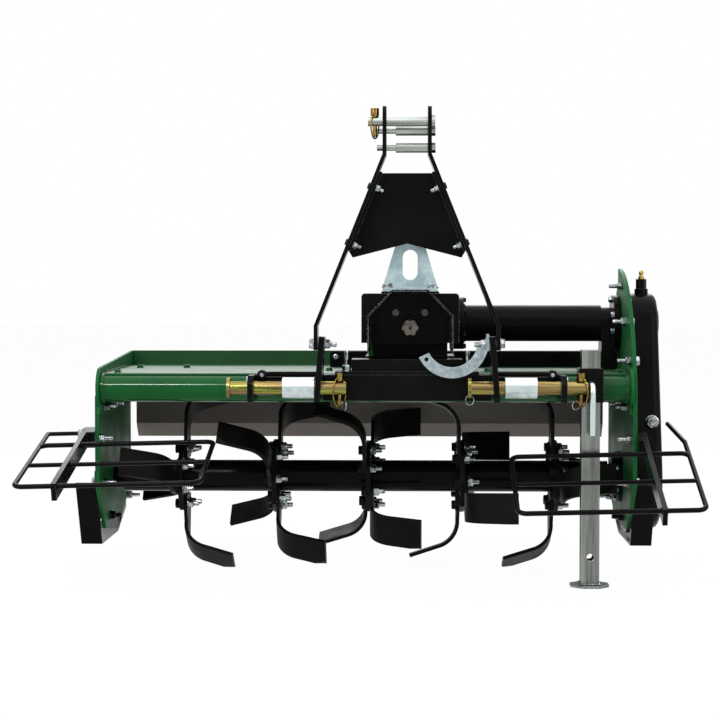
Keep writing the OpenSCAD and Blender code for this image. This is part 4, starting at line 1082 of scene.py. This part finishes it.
@dataclass
class Housing:
    """Fasteners of the gearbox, the drive tube, the side plates and the hood, in mm.

    Attributes:
        shop: maker of fasteners.
        left_in: inner face of the left side plate.
        right_in: inner face of the right side plate.
        side_t: thickness of a side plate.
        hood_end_t: thickness of a hood end.
        joint_x: joint of gearbox and drive tube, from the input shaft.
        joint_half_t: half its thickness.
        joint_r: radius of its bolts' circle.
        tube_end_t: thickness of the drive tube's right flange.
        tube_end_r: radius of that flange's bolts' circle.
        tube_end_turns: angles of those bolts.
        cover_y: face of the gearbox's rear cover.
        cover_drop: how far its middle lies below the drive axis.
        cover_r: radius of its bolts' circle.
        lifting_bolts: X out, Y and Z of the lifting plate's bolts.
        shield_screws: X out, Y and Z of the shield's screws.
        upper_bolts: Y and Z on the upper right plate.
        lower_bolts: Y and Z on both plates, for the guards and the skids.
        guard_bolt: place of the bolt outside the left guard's bar.
        skid_t: thickness of a skid or bar under a bolt's head.
        skid_bolt: Y and Z of the skids' lower nuts.
        bearing_t: thickness of a rotor bearing's flange.
        bearing_r: radius of its bolts' circle.
        case_t: thickness of the gear case's rim.
        case_top_r: radius of the rim's bolts round the drive axis.
        case_top_turns: angles of those bolts.
        case_foot_r: radius of the rim's bolts round the rotor's axis.
        case_foot_turns: angles of those bolts.
        level_plug: place of the oil level plug.
        hood_end_bolts: Y and Z on the hood's ends.
        deck_bolts: X and Y on the deck.
        channel_bolt: place of the bolt on the cross channel.
    """

    shop: FastenerShop
    left_in: float = -564.0
    right_in: float = 571.0
    side_t: float = 8.0
    hood_end_t: float = 6.0
    joint_x: float = 108.0
    joint_half_t: float = 12.0
    joint_r: float = 52.0
    tube_end_t: float = 16.0
    tube_end_r: float = 53.0
    tube_end_turns: tuple[float, ...] = (20, 90, 160, 200, 340)
    cover_y: float = 124.0
    cover_drop: float = 7.0
    cover_r: float = 43.0
    lifting_bolts: tuple[float, float, float] = (51.0, -26.0, 626.0)
    shield_screws: tuple[float, float, float] = (32.0, -74.0, 572.0)
    upper_bolts: tuple[tuple[float, float], ...] = ((-16, 630), (-92, 552), (-183, 470))
    lower_bolts: tuple[tuple[float, float], ...] = ((-200, 304), (-155, 205), (192, 140))
    guard_bolt: tuple[float, float, float] = (-600.0, -195.0, 312.0)
    skid_t: float = 6.0
    skid_bolt: tuple[float, float] = (-60.0, 122.0)
    bearing_t: float = 9.0
    bearing_r: float = 49.0
    case_t: float = 8.0
    case_top_r: float = 71.5
    case_top_turns: tuple[float, ...] = (0, 45, 90, 135, 180)
    case_foot_r: float = 120.5
    case_foot_turns: tuple[float, ...] = (0, 180, 225, 270, 315)
    level_plug: tuple[float, float, float] = (630.0, -81.0, 332.0)
    hood_end_bolts: tuple[tuple[float, float], ...] = ((-172, 372), (-60, 372), (120, 400))
    deck_bolts: tuple[tuple[float, float], ...] = (
        (-528, -180), (-515, 70), (-408, 70), (-77, -80), (270, -110), (545, -175))
    channel_bolt: tuple[float, float, float] = (-70.0, 130.0, 467.0)

    @property
    def left_out(self) -> float:
        """Outer face of the left side plate."""
        return self.left_in - self.side_t

    @property
    def right_out(self) -> float:
        """Outer face of the right side plate."""
        return self.right_in + self.side_t

    def build(self) -> None:
        """Bolt the housings, plates and hood together."""
        self.bolt_gearbox()
        self.bolt_side_plates()
        self.bolt_bearings()
        self.bolt_hood()

    def circle(self, x: float, y: float, z: float, radius: float, turns: Sequence[float],
               axis: Vector) -> list[Seat]:
        """Seats on a circle round an axis along X.

        Args:
            x: face that they sit on.
            y: axis, from the rotor's axis.
            z: height of the axis.
            radius: radius of the circle.
            turns: angles in degrees from the rear.
            axis: way that the fasteners stand out.

        Returns:
            The seats.
        """
        rays = [(math.cos(math.radians(t)), math.sin(math.radians(t))) for t in turns]
        return [Seat(over_rotor(x, y + radius * c, z + radius * s), axis) for c, s in rays]

    def on_face(self, x: float, spots: Sequence[tuple[float, float]], axis: Vector) -> list[Seat]:
        """Seats on an upright face across X, at spots of Y and Z."""
        return [Seat(over_rotor(x, y, z), axis) for y, z in spots]

    def pair(self, x: float, out: float, y: float, z: float, axis: Vector) -> list[Seat]:
        """Two seats to the left and to the right of a middle at x."""
        return [Seat(over_rotor(x + side.value * out, y, z), axis) for side in Side]

    def bolt_gearbox(self) -> None:
        """Bolt the drive tube, the rear cover, the lifting plate and the shield to the gearbox."""
        box_x = middle("pto_shaft").x / MM
        drive, joint = (DRIVE_Y, DRIVE_Z), box_x + self.joint_x
        heads = self.circle(joint - self.joint_half_t, *drive, self.joint_r, SIX_TURNS, LEFT)
        nuts = self.circle(joint + self.joint_half_t, *drive, self.joint_r, SIX_TURNS, RIGHT)
        heads += self.circle(self.right_in - self.tube_end_t, *drive, self.tube_end_r, self.tube_end_turns, LEFT)
        cover = over_rotor(box_x, self.cover_y, DRIVE_Z - self.cover_drop)
        for turn in SIX_TURNS:
            ray = Vector((math.cos(math.radians(turn)), 0, math.sin(math.radians(turn))))
            heads.append(Seat(cover + ray * self.cover_r * MM, REAR))
        self.shop.fit("drive_flange_bolts", SMALL_BOLT, heads)
        self.shop.fit("drive_flange_nuts", TINY_BOLT, nuts, Slot.BLACK)
        self.shop.fit("lifting_plate_bolts", BOLT, self.pair(box_x, *self.lifting_bolts, UP))
        self.shop.fit("shield_screws", DISC, self.pair(box_x, *self.shield_screws, FRONT), Slot.STEEL)

    def bolt_side_plates(self) -> None:
        """Bolt the right plate, the guards and the skids."""
        nuts = self.on_face(self.right_in, self.upper_bolts, LEFT)
        nuts += self.on_face(self.left_in, self.lower_bolts, RIGHT)
        nuts += self.on_face(self.right_in, self.lower_bolts, LEFT)
        heads = self.on_face(self.right_out, self.upper_bolts[1:], RIGHT)
        heads.append(Seat(over_rotor(*self.guard_bolt), LEFT))
        heads += self.on_face(self.left_out - self.skid_t, self.lower_bolts[1:], LEFT)
        heads += self.on_face(self.right_out + self.skid_t, self.lower_bolts[1:], RIGHT)
        skids = self.on_face(self.left_in, [self.skid_bolt], RIGHT)
        skids += self.on_face(self.right_in, [self.skid_bolt], LEFT)
        self.shop.fit("side_plate_nuts", PLATE_NUT, nuts)
        self.shop.fit("skid_nuts", NUT, skids, Slot.BLACK)
        self.shop.fit("side_plate_bolts", BOLT, heads)

    def bolt_bearings(self) -> None:
        """Bolt the rotor's bearings and the gear case, and screw in its level plug."""
        rotor, rim = (0.0, ROTOR_Z), self.right_out + self.case_t
        bolts = self.circle(self.right_in - self.bearing_t, *rotor, self.bearing_r, SIX_TURNS, LEFT)
        bolts += self.circle(self.left_out - self.bearing_t, *rotor, self.bearing_r, SIX_TURNS, LEFT)
        bolts += self.circle(rim, DRIVE_Y, DRIVE_Z, self.case_top_r, self.case_top_turns, RIGHT)
        bolts += self.circle(rim, *rotor, self.case_foot_r, self.case_foot_turns, RIGHT)
        self.shop.fit("bearing_bolts", TINY_BOLT, bolts)
        self.shop.fit("level_plug", LEVEL_PLUG, [Seat(over_rotor(*self.level_plug), FRONT)])

    def bolt_hood(self) -> None:
        """Bolt the hood's ends and the pieces on its deck."""
        ends = []
        for spot in self.hood_end_bolts:
            ends += self.on_face(self.left_in + self.hood_end_t, [spot], RIGHT)
            ends += self.on_face(self.right_in - self.hood_end_t, [spot], LEFT)
        self.shop.fit("hood_end_nuts", NUT, ends)
        deck = [Seat(over_rotor(x, y, DECK_TOP), UP) for x, y in self.deck_bolts]
        self.shop.fit("deck_bolts", SMALL_BOLT, deck, Slot.GREEN)
        self.shop.fit("channel_bolt", TINY_BOLT, [Seat(over_rotor(*self.channel_bolt), FRONT)])


@dataclass(frozen=True)
class WireGuard:
    """Where a wire guard's rods pass through its carrier bar, in mm.

    Attributes:
        corner: outer end of its front rod.
        tilt_deg: tilt up to the rear.
        faces: places of the carrier's faces along the rods.
        pitch: distance from rod to rod.
    """

    corner: tuple[float, float, float]
    tilt_deg: float
    faces: tuple[float, float]
    pitch: float


LEFT_GUARD = WireGuard((-676.0, -553.1, 236.0), 12.0, (76.0, 86.0), 140.0)
RIGHT_GUARD = WireGuard((676.0, -553.6, 195.0), 20.0, (-87.0, -77.0), 130.0)


@dataclass
class Seams:
    """Weld beads of the stand, the drive tube, the hood, the gearbox base and the guards, in mm.

    Attributes:
        welder: maker of beads.
        off: how far a bead's middle stands off its corner.
        bead: width of the beads on the stand and the hood.
        gearbox_bead: width of the beads on the gearbox.
        guard_bead: width of the beads on the guards.
        stand_half: half the stand tube's width.
        foot_top: height of the foot plate's upper face.
        drive_r: radius of the drive tube.
        flange_x: face of the drive tube's flange, from the gearbox base's left edge.
        hood_ys: where the beads along the hood's ends start and stop.
        rods: number of a guard's rods.
        rod_r: radius of a rod.
        rod_off: how far a bead's middle stands off a rod.
        rod_points: points of a ring round a rod.
        roll_deg: tilt of both guards up to the right.
    """

    welder: Welder
    off: float = 1.0
    bead: float = 5.0
    gearbox_bead: float = 6.0
    guard_bead: float = 4.0
    stand_half: float = 19.0
    foot_top: float = 5.0
    drive_r: float = 41.0
    flange_x: float = 233.0
    hood_ys: tuple[float, float] = (-150.0, 122.0)
    rods: int = 3
    rod_r: float = 5.0
    rod_off: float = 0.6
    rod_points: int = 18
    roll_deg: float = 1.5

    def build(self) -> None:
        """Lay the beads."""
        foot, reach = middle("stand"), (self.stand_half + self.off) * MM
        square = self.foot_path(foot.x - reach, foot.y - reach, foot.x + reach, foot.y + reach, self.foot_top)
        self.welder.lay("stand_foot_bead", [square], self.bead, Slot.ZINC, Body.STAND)
        low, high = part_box("gearbox_base")
        base = self.foot_path(low.x, low.y, high.x, high.y, DECK_TOP)
        flange = over_rotor(low.x / MM + self.flange_x, DRIVE_Y, DRIVE_Z)
        tube = self.welder.ring(flange, self.drive_r + self.off)
        self.welder.lay("gearbox_beads", [base, tube], self.gearbox_bead, Slot.BLACK)
        low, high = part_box("hood_deck")
        hood = [[over_rotor(x, y, DECK_TOP + self.off) for y in self.hood_ys]
                for x in (low.x / MM + self.off, high.x / MM - self.off)]
        self.welder.lay("hood_beads", hood, self.bead, Slot.GREEN)
        rods = self.rings(LEFT_GUARD) + self.rings(RIGHT_GUARD)
        self.welder.lay("guard_beads", rods, self.guard_bead, Slot.BLACK)

    def foot_path(self, left: float, front: float, right: float, rear: float, foot_mm: float) -> list[Vector]:
        """Closed path round an upright box's foot.

        Args:
            left: lowest X in metres.
            front: lowest Y.
            right: highest X.
            rear: highest Y.
            foot_mm: height of what it stands on.

        Returns:
            The path.
        """
        corners = ((left, front), (right, front), (right, rear), (left, rear), (left, front))
        return [Vector((x, y, (foot_mm + self.off) * MM)) for x, y in corners]

    def rings(self, guard: WireGuard) -> list[list[Vector]]:
        """Rings where a guard's rods pass through its carrier bar.

        Args:
            guard: the guard.

        Returns:
            The rings.
        """
        turn = (Matrix.Rotation(math.radians(guard.tilt_deg), 3, "X")
                @ Matrix.Rotation(math.radians(-self.roll_deg), 3, "Y"))
        start = over_rotor(*guard.corner)
        rings = []
        for face in guard.faces:
            for index in range(self.rods):
                centre = Vector((face, index * guard.pitch, 0)) * MM
                ring = self.welder.ring(centre, self.rod_r + self.rod_off, self.rod_points)
                rings.append([start + turn @ point for point in ring])
        return rings


@dataclass(frozen=True)
class PinHole:
    """Hole near the end of a hitch pin, with the lynch pin's turn in it.

    Attributes:
        place: middle of the hitch pin at the hole, in metres.
        radius: radius of the hitch pin in mm.
        turn_deg: turn of the lynch pin's ring about Z.
    """

    place: Vector
    radius: float
    turn_deg: float


@dataclass
class LynchPins:
    """Pins with a wire ring that keep the three hitch pins in place, in mm.

    Attributes:
        wire: bender of the pins and rings.
        pin_mm: diameter of the pin.
        head_share: head's diameter over the pin's.
        wire_mm: diameter of the ring's wire.
        split_mm: diameter of the small rings' wire.
        reach_mm: how far the pin stands out below the hitch pin.
        hole_in: from a hitch pin's end to its hole.
        head_rise: from the hitch pin's top to the middle of the lynch pin's head.
        ring_drop: how far the ring's middle lies below the hitch pin's.
        ring_wide: how much wider than the hitch pin the ring is, on each side.
        ring_tall: how much taller than the hitch pin the ring is, up and down.
        ring_points: points of a ring.
        hook_index: point of a lynch pin's ring, on its low side, in which a small ring hangs.
        rim_in: from the right link pin's left end to the small ring on its head's rim.
        rim_over: how far that ring's inside lies above the rim's lowest point.
    """

    wire: WireShop
    pin_mm: float = 9.0
    head_share: float = 1.9
    wire_mm: float = 3.2
    split_mm: float = 2.4
    reach_mm: float = 22.0
    hole_in: float = 14.0
    head_rise: float = 9.0
    ring_drop: float = 8.0
    ring_wide: float = 8.0
    ring_tall: float = 17.0
    ring_points: int = 40
    hook_index: int = 35
    rim_in: float = 4.0
    rim_over: float = 6.0

    def build(self) -> None:
        """Put a lynch pin through each hitch pin and hang the small rings."""
        top = self.hole("top_pin", Side.LEFT, radius=10.0, turn_deg=25.0)
        inner = self.hole("link_pin_left", Side.RIGHT, radius=14.0, turn_deg=35.0)
        outer = self.hole("link_pin_right", Side.RIGHT, radius=14.0, turn_deg=-35.0)
        for name, hole in (("top_lynch_pin", top), ("left_lynch_pin", inner), ("right_lynch_pin", outer)):
            self.fit(name, hole)
        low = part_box("link_pin_right")[0]
        rim = Vector((low.x + self.rim_in * MM, outer.place.y, low.z))
        hook, wire_r = self.hook_index, self.wire_mm / 2
        self.hang("left_split_ring", self.oval(inner)[hook], wire_r, radius=10.0, turn_deg=150.0)
        self.hang("right_split_ring", rim, self.rim_over, radius=10.0, turn_deg=60.0)
        self.hang("outer_split_ring", self.oval(outer)[hook], wire_r, radius=9.0, turn_deg=60.0)

    def hole(self, node: str, end: Side, radius: float, turn_deg: float) -> PinHole:
        """Hole near one end of a hitch pin.

        Args:
            node: the hitch pin.
            end: end that the hole is near.
            radius: radius of the hitch pin.
            turn_deg: turn of the lynch pin's ring.

        Returns:
            The hole.
        """
        low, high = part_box(node)
        place = (low + high) / 2
        place.x = (low.x if end is Side.LEFT else high.x) - end.value * self.hole_in * MM
        return PinHole(place, radius, turn_deg)

    def hang(self, name: str, carrier: Vector, over: float, radius: float, turn_deg: float) -> None:
        """Hang a small ring on what carries it.

        Args:
            name: name of the piece.
            carrier: middle of what carries it, in metres.
            over: how far the ring's inside lies above that middle.
            radius: radius of the ring.
            turn_deg: its turn about Z.
        """
        centre = carrier + UP * (over + self.split_mm / 2 - radius) * MM
        ring = self.loop(centre, radius, radius, turn_deg)
        self.wire.bend(name, [ring], self.split_mm, Slot.ZINC, closed=True)

    def oval(self, hole: PinHole) -> list[Vector]:
        """Path of a lynch pin's ring."""
        centre = hole.place - UP * self.ring_drop * MM
        return self.loop(centre, hole.radius + self.ring_wide, hole.radius + self.ring_tall, hole.turn_deg)

    def loop(self, centre: Vector, wide_mm: float, tall_mm: float, turn_deg: float) -> list[Vector]:
        """Points of an upright oval.

        Args:
            centre: its middle in metres.
            wide_mm: half its width.
            tall_mm: half its height.
            turn_deg: turn about Z, 0 for a ring that faces the side.

        Returns:
            The points.
        """
        way = Vector((math.sin(math.radians(turn_deg)), math.cos(math.radians(turn_deg)), 0)) * wide_mm * MM
        turns = [2 * math.pi * i / self.ring_points for i in range(self.ring_points)]
        return [centre + way * math.cos(t) + UP * tall_mm * MM * math.sin(t) for t in turns]

    def fit(self, name: str, hole: PinHole) -> None:
        """Put one lynch pin through a hitch pin.

        Args:
            name: name of the piece.
            hole: hole that it goes through.
        """
        head_z, foot_z = hole.radius + self.head_rise, -hole.radius
        shank = (head_z + 6.0, head_z, 0.0, foot_z - 4.0, foot_z - self.reach_mm)
        head = (head_z - 8.0, head_z - 6.0, head_z + 5.0, head_z + 8.0)
        for part, heights, width in (("shank", shank, self.pin_mm), ("head", head, self.pin_mm * self.head_share)):
            path = [hole.place + UP * z * MM for z in heights]
            self.wire.bend(f"{name}_{part}", [path], width, Slot.GOLD)
        self.wire.bend(f"{name}_ring", [self.oval(hole)], self.wire_mm, Slot.GOLD, closed=True)


@dataclass(frozen=True)
class Softbox:
    """One lamp of the studio.

    Attributes:
        name: name of the lamp.
        place: its middle in metres.
        aim: point that it faces.
        size: width and height in metres.
        watts: its power.
    """

    name: str
    place: tuple[float, float, float]
    aim: tuple[float, float, float]
    size: tuple[float, float]
    watts: float

    def hang(self) -> None:
        """Hang the lamp and aim it."""
        data = bpy.data.lights.new(self.name, "AREA")
        data.shape = "RECTANGLE"
        data.size, data.size_y = self.size
        data.energy = self.watts
        lamp = show(self.name, data)
        lamp.location = self.place
        lamp.rotation_euler = (Vector(self.aim) - Vector(self.place)).to_track_quat("-Z", "Y").to_euler()


SOFTBOXES = (
    Softbox("overhead_softbox", (0.1, -0.2, 3.2), (0.1, 0.1, 0.3), (7.0, 6.0), 165.0),
    Softbox("front_left_softbox", (-2.6, -3.0, 1.9), (0.0, 0.0, 0.4), (2.4, 2.6), 45.0),
    Softbox("front_right_softbox", (2.8, -2.6, 1.7), (0.1, 0.0, 0.4), (2.2, 2.4), 38.0),
    Softbox("rear_softbox", (0.0, 3.0, 2.2), (0.0, 0.2, 0.5), (3.0, 1.6), 55.0),
    Softbox("front_strip", (-0.9, -2.75, 2.45), (-0.4, -0.1, 0.41), (0.45, 0.18), 36.0),
)


@dataclass
class Studio:
    """Pale floor, soft lamps and a white surround.

    Attributes:
        floor_size: side of the square floor in metres.
        floor_tint: sRGB colour of the floor.
        white: sRGB colour of the surround.
        glow: share of the floor's white that doesn't darken in shadow.
        surround: brightness of the surround as a light.
    """

    floor_size: float = 60.0
    floor_tint: str = "#f4f4f2"
    white: str = "#ffffff"
    glow: float = 0.97
    surround: float = 0.42

    def build(self) -> None:
        """Build the floor, the surround and the lamps."""
        self.lay_floor()
        self.light_surround()
        for softbox in SOFTBOXES:
            softbox.hang()

    def seen_directly(self, tree: NodeTree) -> NodeSocket:
        """Factor of 1 for camera, mirror and glass rays.

        Args:
            tree: material or world tree.

        Returns:
            The factor.
        """
        rays = add_node(tree, "ShaderNodeLightPath").outputs
        seen = rays["Is Camera Ray"]
        for kind in ("Is Glossy Ray", "Is Transmission Ray"):
            seen = add_node(tree, "ShaderNodeMath", {0: seen, 1: rays[kind]}, operation="MAXIMUM").outputs[0]
        return seen

    def lay_floor(self) -> None:
        """Lay a pale floor that keeps a faint shadow and reads as white."""
        half = self.floor_size / 2
        mesh = bpy.data.meshes.new("floor")
        mesh.from_pydata([(-half, -half, 0), (half, -half, 0), (half, half, 0), (-half, half, 0)], [], [(0, 1, 2, 3)])
        floor = show("floor", mesh)
        material = bpy.data.materials.new("white_studio_floor")
        material.use_nodes = True
        tree = material.node_tree
        tree.nodes.clear()
        matt = add_node(tree, "ShaderNodeBsdfDiffuse", {"Color": linear(self.floor_tint)}).outputs[0]
        white = add_node(tree, "ShaderNodeEmission", {"Color": linear(self.white), "Strength": 1.0}).outputs[0]
        share = add_node(tree, "ShaderNodeMath", {0: self.seen_directly(tree), 1: self.glow}, operation="MULTIPLY")
        mix = add_node(tree, "ShaderNodeMixShader", {0: share.outputs[0], 1: matt, 2: white})
        add_node(tree, "ShaderNodeOutputMaterial", {"Surface": mix.outputs[0]})
        mesh.materials.append(material)

    def light_surround(self) -> None:
        """Light the surround softly and show it as white."""
        world = bpy.data.worlds.new("studio_surround")
        world.use_nodes = True
        tree = world.node_tree
        tree.nodes.clear()
        soft, white = (add_node(tree, "ShaderNodeBackground", {"Color": linear(self.white), "Strength": power})
                       for power in (self.surround, 1.0))
        mix = add_node(tree, "ShaderNodeMixShader", {0: self.seen_directly(tree), 1: soft.outputs[0],
                       2: white.outputs[0]})
        add_node(tree, "ShaderNodeOutputWorld", {"Surface": mix.outputs[0]})
        bpy.context.scene.world = world


@dataclass
class PhotoCamera:
    """Camera at the photograph's place: in line with the hitch, a little below the shield's top.

    Attributes:
        image_px: side of the square image.
        focal_px: focal length in pixels.
        vanish_px: where lines along +Y meet, in pixels from the left and from the top.
        eye_z: height of the eye in metres.
        distance: from the rotor's axis, in metres.
        sensor_mm: width of the sensor.
        far: how far the camera sees, in metres.
    """

    image_px: float = 720.0
    focal_px: float = 1850.0
    vanish_px: tuple[float, float] = (407.0, 292.0)
    eye_z: float = 0.617
    distance: float = 4.14
    sensor_mm: float = 36.0
    far: float = 200.0

    def build(self) -> None:
        """Create the camera and make it the scene's."""
        data = bpy.data.cameras.new("photo_camera")
        data.sensor_width = self.sensor_mm
        data.lens = self.focal_px / self.image_px * self.sensor_mm
        data.clip_end = self.far
        camera = show("photo_camera", data)
        half = self.image_px / 2
        yaw = math.atan((self.vanish_px[0] - half) / self.focal_px)
        pitch = math.atan((half - self.vanish_px[1]) / self.focal_px)
        camera.location = (middle("hitch_beam").x, middle("rotor_shaft").y - self.distance, self.eye_z)
        camera.rotation_euler = (math.pi / 2 - pitch, 0.0, yaw)
        bpy.context.scene.camera = camera


def main() -> None:
    """Dress the machine, light it and place the camera."""
    logging.basicConfig(level=logging.INFO, format="%(name)s: %(message)s")
    bpy.context.scene.view_settings.view_transform = "Standard"
    PhotoCamera().build()
    wardrobe = Wardrobe()
    wardrobe.dress_nodes()
    shop = FastenerShop(wardrobe)
    welder = Welder(wardrobe)
    wire = WireShop(wardrobe)
    Rotor(shop, welder).build()
    Hitch(shop, welder, wire).build()
    Housing(shop).build()
    Seams(welder).build()
    LynchPins(wire).build()
    Studio().build()


if __name__ == "__main__":
    main()
